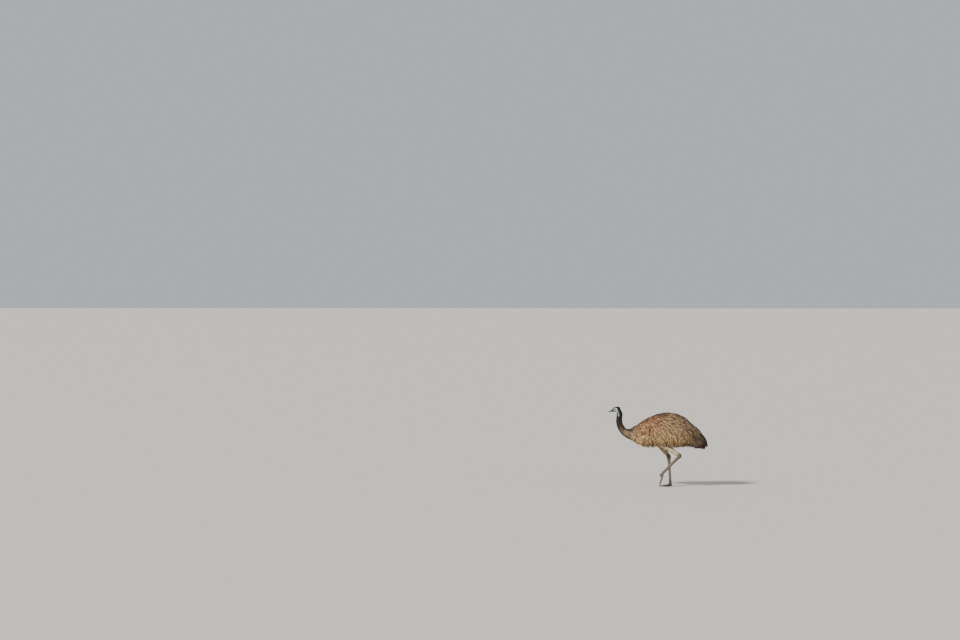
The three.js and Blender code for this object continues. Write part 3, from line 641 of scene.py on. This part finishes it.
def body_lie(p, out):
    """Back along the body, turned further down on the flanks, and parted along the back's middle."""
    down = np.radians(12 + 62 * smooth((0.75 - out[:, 2]) / 1.2))[:, None]
    part = np.sign(p[:, 1:2]) * smooth(out[:, 2:3] / 0.9) * np.array([0.0, 0.26, 0])
    return np.array([1.0, 0, 0]) * np.cos(down) + DOWN * np.sin(down) + part


def neck_lie(p, out):
    """Down the neck towards the body, and a little downwards."""
    to_body = np.array([70.0, 0, 805]) - p * [1, 0, 1]
    return unit(to_body) * 0.55 + DOWN * 0.45


coat = []


def grow(
    name, slot_name, tube, t, angle, length, lie, lift, hang, width, blades, spread, tint, tip, bake_from,
    short=0.3, fall=0.35,
):
    """One joined mesh of feathers over a tube, kept with its slot. The map follows the rows and the angle."""
    paths, outs = comb(tube, t, angle, length, lie, lift, hang, fall)
    turns = (angle / (2 * math.pi) + 0.25) % 1
    bake_at = np.stack([bake_from[0] + bake_from[2] * t / tube.last, bake_from[1] + bake_from[3] * turns], -1)
    points, faces, tints, bakes = vanes(paths, outs, width, blades, spread, tint, tip, bake_at, short)
    coat.append((object_of(name, to_row(points), faces, tints, bakes), slot_name))


def body_roots(count, t_from, t_to):
    """Even random places on one side of the body between two rows: their rows and angles."""
    here = spline(CORE.rows, np.linspace(t_from, t_to, 60))
    t = t_from + (t_to - t_from) * scattered(count, here[:, 5] + here[:, 3])
    return t, rng.uniform(-math.pi / 2, math.pi / 2, count)


# Tail, rump, back and breast: long loose feathers, parted along the back's middle line. They droop over the flanks
# to a ragged fringe, and hang from the tail's end. Each region is its rows and a count of feathers.
REGIONS = {
    "coat_tail": (0.1, 3.4, 3900),
    "coat_rump": (3.4, 5.0, 4700),
    "coat_back": (5.0, 6.6, 4700),
    "coat_breast": (6.6, 10.3, 5200),
}
BODY_WIDTH, BODY_SPREAD = 6.8, 5.5
for name, (t_from, t_to, count) in REGIONS.items():
    t, below = body_roots(count, t_from, t_to)
    keep = (np.degrees(below) > -55) | (rng.random(count) < 0.45)
    keep &= rng.random(count) < smooth((10.5 - t) / 1.2)
    t, below = t[keep], below[keep]
    angle = np.where(rng.random(len(t)) < 0.5, below, math.pi - below)
    degrees = np.degrees(below)
    low = smooth((20 - degrees) / 45)
    belly = smooth((-40 - degrees) / 20)
    hang = np.maximum(low * (1 - belly) * smooth((9.9 - t) / 1.6), smooth((3 - t) / 1.2) * (1 - belly))
    root = CORE.at(t, angle)
    length = np.interp(t, [0, 2, 5, 7.5, 9.3, 10.3], [125, 150, 165, 140, 84, 58])
    length = length * (1 - 0.3 * low) * (1 - 0.4 * belly) * rng.uniform(0.75, 1.08, len(t))
    length = length * (1 - 0.3 * smooth((2.2 - t) / 2) * low)
    stray = np.outer(rng.normal(0, 0.13, len(t)), [0.0, 1, 0])
    lift = coat_depth(t) * rng.uniform(0.35, 1.0, len(t)) * (1 - 0.4 * belly)
    # The place's colour, with darker and paler feathers, dark blotches, and dark tips low down, which are painted
    # shade under the body.
    tint = plumage_colour(root, t, np.sin(below))
    speck = rng.random(len(t))
    tint = mix(tint, DARK, (speck < 0.24) * rng.uniform(0.3, 0.9, len(t)))
    tint = mix(tint, DARK, smooth((mottle(root, 15, 17) - 0.56) / 0.16) * 0.6)
    tint = mix(tint, STRAW, (speck > 0.76) * rng.uniform(0.2, 0.6, len(t)) * smooth((t - 1) / 2))
    tip = np.where(rng.random(len(t)) < 0.3, rng.uniform(0.75, 0.95, len(t)), rng.uniform(0.0, 0.25, len(t)))
    # Feathers low on the body get darker tips: painted shade under the body.
    tip = np.maximum(tip, smooth((-5 - degrees) / 35) * rng.uniform(0.2, 0.9, len(t)))
    grow(
        name, "plumage", CORE, t, angle, length, lambda p, out: body_lie(p, out) + stray, lift, hang,
        width=BODY_WIDTH, blades=3, spread=BODY_SPREAD, tint=tint, tip=tip,
        bake_from=BODY_MAP,
    )

# The lower neck's feathers are shorter and narrower than the body's, and fine as hair towards the upper neck. They
# lie down the neck, and stand off it a little more towards its top.
NECK_FEATHERS = 5200
t, below = body_roots(NECK_FEATHERS, 9.0, 13.9)
angle = np.where(rng.random(len(t)) < 0.5, below, math.pi - below)
length = np.interp(t, [9, 10.5, 12, 13.9], [80, 56, 42, 26]) * rng.uniform(0.7, 1.1, len(t))
tint = plumage_colour(CORE.at(t, angle), t, np.sin(below))
tint = mix(tint, BLACK, (rng.random(len(t)) < 0.4) * 0.75)
lift = coat_depth(t) * rng.uniform(0.4, 1, len(t)) + 1 + 7 * smooth((t - 11) / 2) * rng.random(len(t))
grow(
    "coat_neck", "neck_plumage", CORE, t, angle, length, neck_lie, lift, 0.0,
    width=np.interp(t, [9, 10.5, 12, 13.9], [6, 4, 2.8, 1.6]), blades=3, spread=2.6, tint=tint,
    tip=rng.uniform(0.1, 0.6, len(t)), bake_from=BODY_MAP, short=0.4,
)

# The upper neck has thin black hair-like feathers, close on its nape and throat and sparse on its bare blue sides.
# Those of the nape are longer and stand up.
NAPE_FEATHERS = 9000
t, below = body_roots(NAPE_FEATHERS, 13.2, 15.6)
keep = rng.random(len(t)) < 0.05 + 0.95 * neck_dark(t, np.sin(below))
t, below = t[keep], below[keep]
angle = np.where(rng.random(len(t)) < 0.5, below, math.pi - below)
nape = smooth((np.sin(below) + 0.1) / 0.5)
length = (np.interp(t, [13.2, 14.5, 15.6], [22, 15, 11]) + 9 * nape) * rng.uniform(0.6, 1.2, len(t))
lift = rng.uniform(2, 7, len(t)) + nape * 7 * rng.random(len(t))
tint = BLACK * 1.2 * rng.uniform(0.7, 1.6, (len(t), 1))
grow(
    "coat_neck_top", "head_plumage", CORE, t, angle, length, neck_lie, lift, 0.0,
    width=1.2, blades=2, spread=1.3, tint=tint, tip=np.full(len(t), 0.2),
    bake_from=BODY_MAP, short=0.4,
)


def head_lie(p, out):
    """Back over the head, and down its sides and nape."""
    q = to_head(p)
    down = smooth((q[:, 0] - 2) / 36)[:, None]
    return np.array([1.0, 0, -0.15]) * (1 - down) + np.array([0.3, 0, -0.9]) * down


# The head carries fine black hair-like feathers, longest on the crown and nape and bristly on the lores and chin.
# They root in the skin itself, and each follows its curve. Eye ring, cheek and ear stay nearly bare.
HEAD_FEATHERS, HEAD_STEPS = 30000, 4
at = rng.integers(0, len(head_points), HEAD_FEATHERS)
root, out, q = head_points[at], head_normals[at], to_head(head_points)[at]
eye_gap = np.linalg.norm(np.stack([q[:, 0], np.abs(q[:, 1]), q[:, 2]], -1) - EYE_PLACE, axis=-1)
ear_gap = np.hypot(q[:, 0] - EAR_X, q[:, 2] - EAR_Z)
keep = (rng.random(len(q)) > head_bare(q) * 1.15) & (eye_gap > 17) & (ear_gap > 5) & (on_neck[at] < 0.75)
keep &= (q[:, 0] > HEAD_FRONT + 2) & (rng.random(len(q)) < 0.8)
root, out, q = root[keep], out[keep], q[keep]
crown, lores = smooth((q[:, 2] - 8) / 18), smooth((-18 - q[:, 0]) / 16)
nape = smooth((q[:, 0] - 22) / 22) * smooth((22 - q[:, 2]) / 24)
length = (6 + 8 * crown + 10 * nape) * (1 - 0.55 * lores) * rng.uniform(0.6, 1.2, len(q))
lift = 1 + (1.2 + 3.5 * np.maximum(crown, nape) * (1 - lores)) * rng.random(len(q))
flat = head_lie(root, out)
flat = unit(flat - out * (flat * out).sum(-1)[:, None])
share = np.linspace(0, 1, HEAD_STEPS)[None, :, None]
length, lift = length[:, None, None], lift[:, None, None]
drop = (length * share) ** 2 / 75
paths = root[:, None] + flat[:, None] * length * share + out[:, None] * (lift * smooth(share * 1.3) - 1 - drop)
outs = np.repeat(out[:, None], HEAD_STEPS, 1)
tint = BLACK * 1.3 * rng.uniform(0.6, 1.7, (len(q), 1))
turns = np.arctan2(q[:, 2], q[:, 1]) / (2 * math.pi) + 0.5
bake_at = np.stack([0.2 * smooth((60 - q[:, 0]) / 120), 0.62 + 0.12 * turns], -1)
points, faces, tints, bakes = vanes(paths, outs, 0.9, 2, 1.1, tint, np.full(len(q), 0.1), bake_at, short=0.4)
coat.append((object_of("coat_head", to_row(points), faces, tints, bakes), "head_plumage"))

# Drumsticks have short pale feathers close to the limb. Darker and sparser towards the hock, they end in a ragged
# edge over it.
DRUMSTICK_FEATHERS = 4200
for spot, (name, leg) in enumerate(LEGS.items()):
    shape = drumstick_of(leg)
    core = Tube(np.hstack([shape.rows[:, :3], shape.rows[:, 3:] - 7]), shape.bulge)
    count = DRUMSTICK_FEATHERS
    t = 0.5 + 3.45 * scattered(count, np.interp(np.linspace(0, 1, 40), [0, 0.8, 1], [1.2, 0.9, 0.35]))
    angle = rng.uniform(0, 2 * math.pi, count)
    down_limb = unit(np.array(leg["hock"], float) - leg["knee"])
    root = core.at(t, angle)
    length = np.interp(t, [0.5, 2.5, 3.4, 4], [54, 38, 24, 11]) * rng.uniform(0.6, 1.15, count)
    tint = mix(CREAM, GREY_BROWN, mottle(root, 60, 21) ** 2 * 0.55)
    tint = mix(tint, DARK, (rng.random(count) < 0.16) * 0.5)
    tint = mix(tint, DARK, smooth((t - 3.1) / 0.8) * 0.45)
    lift = rng.uniform(2, 10, count) * (1 - 0.6 * smooth((t - 2.6) / 1.4)) + 2.5 * smooth((t - 2.8) / 0.8)
    grow(
        "coat_drumstick_" + name, "drumstick", core, t, angle, length, lambda p, out: down_limb * 0.95 + DOWN * 0.1,
        lift, 0.0,
        width=np.interp(t, [0.5, 3, 4], [4.2, 3, 2]), blades=3, spread=3, tint=tint,
        tip=rng.uniform(0.05, 0.35, count), bake_from=(0.22 + 0.2 * spot, 0.62, 0.18, 0.12), short=0.35,
        fall=0.06,
    )

# Each wing is a stub of a limb under loose drooping feathers, which are pale with dark tips: partly the feathers'
# own dark tips, partly painted shade along the wing's ragged edge. Towards its end they hang straight down.
WING_FEATHERS = 700
for spot, (name, shape) in enumerate(WINGS.items()):
    core = Tube(np.hstack([shape.rows[:, :3], shape.rows[:, 3:] - 4]))
    count = WING_FEATHERS
    t = 0.02 + 2.98 * rng.random(count)
    angle = rng.uniform(0, 2 * math.pi, count)
    tint = mix(STRAW, DARK, (rng.random(count) < 0.35) * rng.uniform(0.5, 1, count))
    length = np.interp(t, [0.3, 3], [75, 42]) * rng.uniform(0.6, 1.1, count)
    lift = rng.uniform(3, 12, count)
    # The wing feathers' dark tips are partly their own colour and partly painted shade along the wing's ragged
    # edge.
    grow(
        "coat_wing_" + name, "wing_plumage", core, t, angle, length, lambda p, out: np.array([0.35, 0, -1.0]), lift,
        smooth((t - 0.6) / 1.4),
        width=4.5, blades=3, spread=4, tint=tint, tip=rng.uniform(0.5, 0.95, count),
        bake_from=(0.64 + 0.12 * spot, 0.62, 0.1, 0.1),
    )

# Each eye is a ball with a dark brown ring round a black pupil. Its lids are a fold of pale skin with a dark rim,
# which leaves an opening a little wider than it is high.
POLAR_STEPS, TURN_STEPS, LID_STEPS = 49, 64, 26
eyes, lids = [], []


def on_ball(look, polar, turn, radius):
    """Points at a radius from an eye's centre, at an angle from the way it looks and a turn round that way."""
    level = unit(np.cross(look, [0, 0, 1.0]))
    rise = np.cross(level, look)
    spread = level * (np.sin(polar) * np.cos(turn))[..., None] + rise * (np.sin(polar) * np.sin(turn))[..., None]
    return ((look * np.cos(polar)[..., None] + spread) * radius[..., None]).reshape(-1, 3)


for name, sign in (("left", -1), ("right", 1)):
    centre = EYE_PLACE * [1, sign, 1]
    look = unit(np.array([-0.22, sign, 0.02]))
    round_ = np.linspace(0, 2 * math.pi, TURN_STEPS, endpoint=False)[None, :]
    polar, turn = np.broadcast_arrays(np.linspace(0, math.pi, POLAR_STEPS)[:, None], round_)
    points = from_head(on_ball(look, polar, turn, np.full(polar.shape, EYE_RADIUS)) + centre)
    faces = grid_faces(POLAR_STEPS, TURN_STEPS)
    eye = object_of("eyeball_" + name, to_row(points), faces, masks={"Polar": polar.ravel()})
    eyes.append((eye, "eye_" + name))

    depth, turn = np.broadcast_arrays(np.linspace(0, 1, LID_STEPS)[:, None], round_)
    opening = 0.74 - 0.10 * np.abs(np.sin(turn)) ** 2 + 0.05 * np.cos(turn)
    polar = opening + depth * (1.75 - opening)
    bulge = 0.9 * np.exp(-((depth / 0.10) ** 2)) + 0.35 * np.sin(depth * 26) * np.exp(-depth * 2.5)
    radius = EYE_RADIUS + 0.25 + bulge + 0.5 * smooth(depth * 5) - 2.6 * smooth((depth - 0.55) / 0.45)
    points = on_ball(look, polar, turn, radius)
    rim = smooth((0.34 - depth.ravel()) / 0.12) * 0.95
    outer = smooth((depth.ravel() - 0.7) / 0.3) * 0.4
    pale = mix(BLUE_SKIN, PALE_SKIN, 0.7) * 0.9
    tints = mix(pale, BLACK * 0.8, np.maximum(rim, outer))
    lids.append((from_head(points + centre), grid_faces(LID_STEPS, TURN_STEPS), tints))
lid_points, lid_faces = join([(p, f) for p, f, _ in lids])
lid_tint = np.concatenate([tint for _, _, tint in lids])
lid_piece = object_of("lids", to_row(lid_points), lid_faces, lid_tint, masks={"Scaly": np.zeros(len(lid_points))})

# The bill is flat and broad, with a ridge along its top, a groove at each side of it, long nostrils and a small
# hooked nail at its tip. Its halves meet along the gape.
MOUTH_ROOT, MOUTH_TIP, MOUTH_GAP = -14.0, -17.0, 0.8
BILL_ROOT, BILL_TIP = HEAD_FRONT + 6, HEAD_FRONT - BILL_LENGTH
BILL_MIDDLE = [-80, 0, -10]


def bill_half(rows, way, end):
    """The mesh of one half of the bill, above the mouth's line where way is 1 and below where it is -1. A row is a
    share of the bill's length, the height away from the mouth's line and a half width."""
    stations = []
    for share, depth, half in rows:
        x = BILL_ROOT + (BILL_TIP - BILL_ROOT) * share
        z = MOUTH_ROOT + (MOUTH_TIP - MOUTH_ROOT) * share + way * MOUTH_GAP / 2
        stations.append([x, 0, z, depth if way > 0 else 0.3, 0.3 if way > 0 else depth, half])
    tube = Tube(stations, (1.8, 1.8))
    return tube.mesh(0, tube.last, 72, 70, end=end)


upper_rows = [(0, 25, 22), (0.3, 19, 20), (0.6, 14, 16.5), (0.85, 10.5, 11.5), (0.97, 7, 6.5)]
lower_rows = [(0, 7.5, 19.5), (0.16, 9.3, 19.8), (0.3, 9.3, 19), (0.6, 7.5, 15.5)]
lower_rows += [(0.85, 5.5, 10.5), (0.94, 4, 6.5)]
upper, upper_faces = bill_half(upper_rows, 1, 4)
lower, lower_faces = bill_half(lower_rows, -1, 4)
out = normals_of(upper, upper_faces)
out = out * np.median(np.where((out * (upper - BILL_MIDDLE)).sum(-1) > 0, 1.0, -1.0))
x, side, z = upper[:, 0], np.abs(upper[:, 1]), upper[:, 2]
nostril = np.exp(-(((x + 84) / 7) ** 4) - ((z + 5.5) / 2.0) ** 2) * smooth((side - 6) / 4)
ridge = np.exp(-((side / 3.2) ** 2)) * smooth((z + 8) / 6) * 0.9
groove = -np.exp(-(((side - 7.5) / 2.2) ** 2)) * smooth((z + 6) / 6) * smooth((x + 105) / 20) * 0.8
nail = smooth((-106 - x) / 4) * 0.6
upper = upper + out * (ridge + groove + nail - 2.6 * nostril)[:, None]
# The nostrils are darkened with their depth: painted shade in them.
upper_tint = mix(HORN * (0.8 + 0.5 * mottle(upper * [0.4, 1, 1], 12, 31))[:, None], BLACK * 0.4, nostril)
lower_tint = mix(HORN, PALE_HORN, smooth((-20 - lower[:, 2]) / 8) * 0.5)
lower_tint = lower_tint * (0.85 + 0.4 * mottle(lower, 12, 32))[:, None]
bill_upper = object_of("bill_top", to_row(from_head(upper)), upper_faces, upper_tint)
bill_lower = object_of("bill_bottom", to_row(from_head(lower)), lower_faces, lower_tint)

# Claws are dark, blunt and slightly curved, one to a toe, and paler towards the toe. Those of the right foot rest
# on the floor.
claws = []
for name, leg in LEGS.items():
    for toe, (length, way, width) in TOES.items():
        tube = claw_of(length, width)
        points, faces = tube.mesh(0, tube.last, 24, 24, start=2, end=2)
        dark = smooth((-points[:, 0] - length) / CLAW_LENGTH)
        tint = mix(CLAW_ROOT, BLACK * 1.4, dark)
        points = from_foot(points, leg, way * leg["out"] * leg["spread"])
        points[:, 2] = np.maximum(points[:, 2], FLOOR_GAP)
        claws.append((object_of(f"nail_{toe}_{name}", to_row(points), faces, tint), f"claw_{toe}_{name}"))


# Materials. Each takes the piece's own colour from its points, under grime that all share.
def preset(node, **values):
    """Sets inputs of a node by name, with an underscore for a space."""
    for name, value in values.items():
        node.inputs[name.replace("_", " ")].default_value = value


# Grime: the piece's own colour, varied a little by noise in the object's place.
varied = bpy.data.node_groups.new("varied", "ShaderNodeTree")
varied.interface.new_socket("Scale", in_out="INPUT", socket_type="NodeSocketFloat")
varied.interface.new_socket("Amount", in_out="INPUT", socket_type="NodeSocketFloat")
varied.interface.new_socket("Color", in_out="OUTPUT", socket_type="NodeSocketColor")
nodes, links = varied.nodes, varied.links
gin, gout = nodes.new("NodeGroupInput"), nodes.new("NodeGroupOutput")
tint_in = nodes.new("ShaderNodeAttribute")
tint_in.attribute_name = "Tint"
place_in = nodes.new("ShaderNodeTexCoord")
noise = nodes.new("ShaderNodeTexNoise")
preset(noise, Detail=4)
links.new(place_in.outputs["Object"], noise.inputs["Vector"])
links.new(gin.outputs["Scale"], noise.inputs["Scale"])
centred = nodes.new("ShaderNodeMath")
centred.operation = "SUBTRACT"
centred.inputs[1].default_value = 0.5
links.new(noise.outputs["Fac"], centred.inputs[0])
strength = nodes.new("ShaderNodeMath")
strength.operation = "MULTIPLY_ADD"
strength.inputs[2].default_value = 1.0
links.new(centred.outputs[0], strength.inputs[0])
links.new(gin.outputs["Amount"], strength.inputs[1])
scaled = nodes.new("ShaderNodeVectorMath")
scaled.operation = "SCALE"
links.new(tint_in.outputs["Color"], scaled.inputs[0])
links.new(strength.outputs[0], scaled.inputs["Scale"])
links.new(scaled.outputs[0], gout.inputs["Color"])


def material(name, scale, amount, roughness, bump=None, coat=0.0, sheen=0.0, soft=0.0, shine=0.5):
    """A material from the piece's own colour. bump is (noise scale, strength, distance in metres)."""
    made = bpy.data.materials.new(name)
    made.use_nodes = True
    nodes, links = made.node_tree.nodes, made.node_tree.links
    shader = nodes["Principled BSDF"]
    preset(shader, Roughness=roughness, Specular_IOR_Level=shine, Coat_Weight=coat, Coat_Roughness=0.08)
    preset(shader, Sheen_Weight=sheen, Sheen_Roughness=0.5, Subsurface_Weight=soft, Subsurface_Scale=0.004)
    effect = nodes.new("ShaderNodeGroup")
    effect.node_tree = varied
    preset(effect, Scale=scale, Amount=amount)
    links.new(effect.outputs["Color"], shader.inputs["Base Color"])
    if bump:
        grain = nodes.new("ShaderNodeTexNoise")
        preset(grain, Scale=bump[0], Detail=3)
        where = nodes.new("ShaderNodeTexCoord")
        raised = nodes.new("ShaderNodeBump")
        preset(raised, Strength=bump[1], Distance=bump[2])
        links.new(where.outputs["Object"], grain.inputs["Vector"])
        links.new(grain.outputs["Fac"], raised.inputs["Height"])
        links.new(raised.outputs["Normal"], shader.inputs["Normal"])
    return made


feather = material("feather", 220, 0.5, 0.75, sheen=0.05, shine=0.2)
hair = material("hair", 400, 0.4, 0.65, shine=0.25)
horn_look = material("horn", 260, 0.5, 0.38, bump=(900, 0.25, 0.0004), coat=0.25)

# Skin: soft and finely creased on the head and neck, and on the legs covered with small raised scales.
skin_look = material("skin", 120, 0.35, 0.55, soft=0.06)
nodes, links = skin_look.node_tree.nodes, skin_look.node_tree.links
where = nodes.new("ShaderNodeTexCoord")
scales = nodes.new("ShaderNodeTexVoronoi")
scales.feature = "DISTANCE_TO_EDGE"
preset(scales, Scale=230)
creases = nodes.new("ShaderNodeTexNoise")
preset(creases, Scale=420, Detail=5)
mask = nodes.new("ShaderNodeAttribute")
mask.attribute_name = "Scaly"
flat_top = nodes.new("ShaderNodeMapRange")
preset(flat_top, From_Max=0.22)
pick = nodes.new("ShaderNodeMix")
raised = nodes.new("ShaderNodeBump")
preset(raised, Strength=0.55, Distance=0.0009)
links.new(where.outputs["Object"], scales.inputs["Vector"])
links.new(where.outputs["Object"], creases.inputs["Vector"])
links.new(scales.outputs["Distance"], flat_top.inputs["Value"])
links.new(mask.outputs["Fac"], pick.inputs["Factor"])
links.new(creases.outputs["Fac"], pick.inputs[2])
links.new(flat_top.outputs["Result"], pick.inputs[3])
links.new(pick.outputs[0], raised.inputs["Height"])
links.new(raised.outputs["Normal"], nodes["Principled BSDF"].inputs["Normal"])

# Eye: a black pupil, a dark brown ring and a dark rim, under a clear wet surface. Its colour follows the angle from
# the middle of the pupil, in radians.
EYE_BLACK = (0.004, 0.003, 0.003, 1)
EYE_RINGS = (
    (0.40, EYE_BLACK),
    (0.44, (0.07, 0.022, 0.01, 1)),
    (0.58, (0.14, 0.045, 0.018, 1)),
    (0.66, (0.03, 0.012, 0.008, 1)),
    (0.72, (0.012, 0.008, 0.007, 1)),
)
eye_look = bpy.data.materials.new("eye")
eye_look.use_nodes = True
nodes, links = eye_look.node_tree.nodes, eye_look.node_tree.links
shader = nodes["Principled BSDF"]
preset(shader, Roughness=0.12, Coat_Weight=0.6, Specular_IOR_Level=0.1, Coat_Roughness=0.02)
polar_in = nodes.new("ShaderNodeAttribute")
polar_in.attribute_name = "Polar"
rings = nodes.new("ShaderNodeValToRGB")
ramp = rings.color_ramp.elements
ramp[0].position, ramp[0].color = 0.0, EYE_BLACK
ramp[1].position, ramp[1].color = 1.0, (0.02, 0.012, 0.01, 1)
for position, colour in EYE_RINGS:
    ramp.new(position).color = colour
links.new(polar_in.outputs["Fac"], rings.inputs["Fac"])
links.new(rings.outputs["Color"], shader.inputs["Base Color"])

# What each piece stands for in the solids, and its slot.
flesh = ["torso", "tail", "neck_lower", "neck_upper", "head"]
flesh += [f"{part}_{side}" for side in LEGS for part in ("ear", "wing", "drumstick", "shank", "foot")]
flesh += [f"toe_{toe}_{side}" for side in LEGS for toe in TOES]
skin.data.materials.append(skin_look)
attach(skin, "root")
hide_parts(*flesh)
lid_piece.data.materials.append(skin_look)
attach(lid_piece, "root")
for piece, slot_name in coat:
    piece.data.materials.append(hair if slot_name == "head_plumage" else feather)
    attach(piece, "root")
for piece, node, look, slot_name in (
    [(eye, node, eye_look, "eye") for eye, node in eyes]
    + [(claw, node, horn_look, "claws") for claw, node in claws]
    + [(bill_upper, "bill_upper", horn_look, "bill"), (bill_lower, "bill_lower", horn_look, "bill")]
):
    piece.data.materials.append(look)
    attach(piece, "root")
    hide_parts(node)

# Floor, light and camera are no part of the bird. The floor is a plain sheet, 1200 m across.
FLOOR_HALF = 600
floor_points = np.array([[-1.0, -1, 0], [1, -1, 0], [1, 1, 0], [-1, 1, 0]]) * FLOOR_HALF
floor = object_of("floor", floor_points, np.array([[0, 1, 2, 3]]))
floor_look = bpy.data.materials.new("floor")
floor_look.use_nodes = True
preset(floor_look.node_tree.nodes["Principled BSDF"], Base_Color=(0.56, 0.52, 0.46, 1), Roughness=0.9)
floor.data.materials.append(floor_look)
floor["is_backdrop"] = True

world = bpy.data.worlds.new("studio")
bpy.context.scene.world = world
world.use_nodes = True
preset(world.node_tree.nodes["Background"], Color=(0.78, 0.8, 0.84, 1), Strength=0.66)


def soft_light(name, way, spread, strength):
    """An even light from far off, in the given direction, whose shadows are softened by its spread in degrees."""
    lamp = bpy.data.lights.new(name, "SUN")
    lamp.angle = math.radians(spread)
    lamp.energy = strength
    made = bpy.data.objects.new(name, lamp)
    made.rotation_euler = Vector(way).to_track_quat("-Z", "Y").to_euler()
    bpy.context.scene.collection.objects.link(made)


soft_light("key", (0.8, 0.65, -0.8), 10, 4.8)
soft_light("fill", (-0.7, 0.6, -0.5), 60, 0.5)

# The camera stands 28 m off at 2.6 m. The horizon is a little above the picture's middle. The lens is 2000 pixels
# long in a picture 960 wide, and the bird's middle is 177.2 pixels right of the picture's.
CAMERA_DISTANCE, CAMERA_HEIGHT = 28, 2.6
CAMERA_DIP = 0.573
LENS_PIXELS, BIRD_PIXELS = 2000, 177.2
camera = bpy.data.objects.new("camera", bpy.data.cameras.new("camera"))
camera.data.sensor_width = 36
camera.data.lens = 75
camera.data.clip_end = 2000
camera.location = (SHIFT[0] * 0.001, -CAMERA_DISTANCE, CAMERA_HEIGHT)
camera.rotation_euler = (math.radians(90 - CAMERA_DIP), 0, math.atan(BIRD_PIXELS / LENS_PIXELS))
bpy.context.scene.collection.objects.link(camera)
bpy.context.scene.camera = camera

low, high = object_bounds()
sizes = {"cad": [list(cad_low), list(cad_high)], "visual": [list(low), list(high)]}
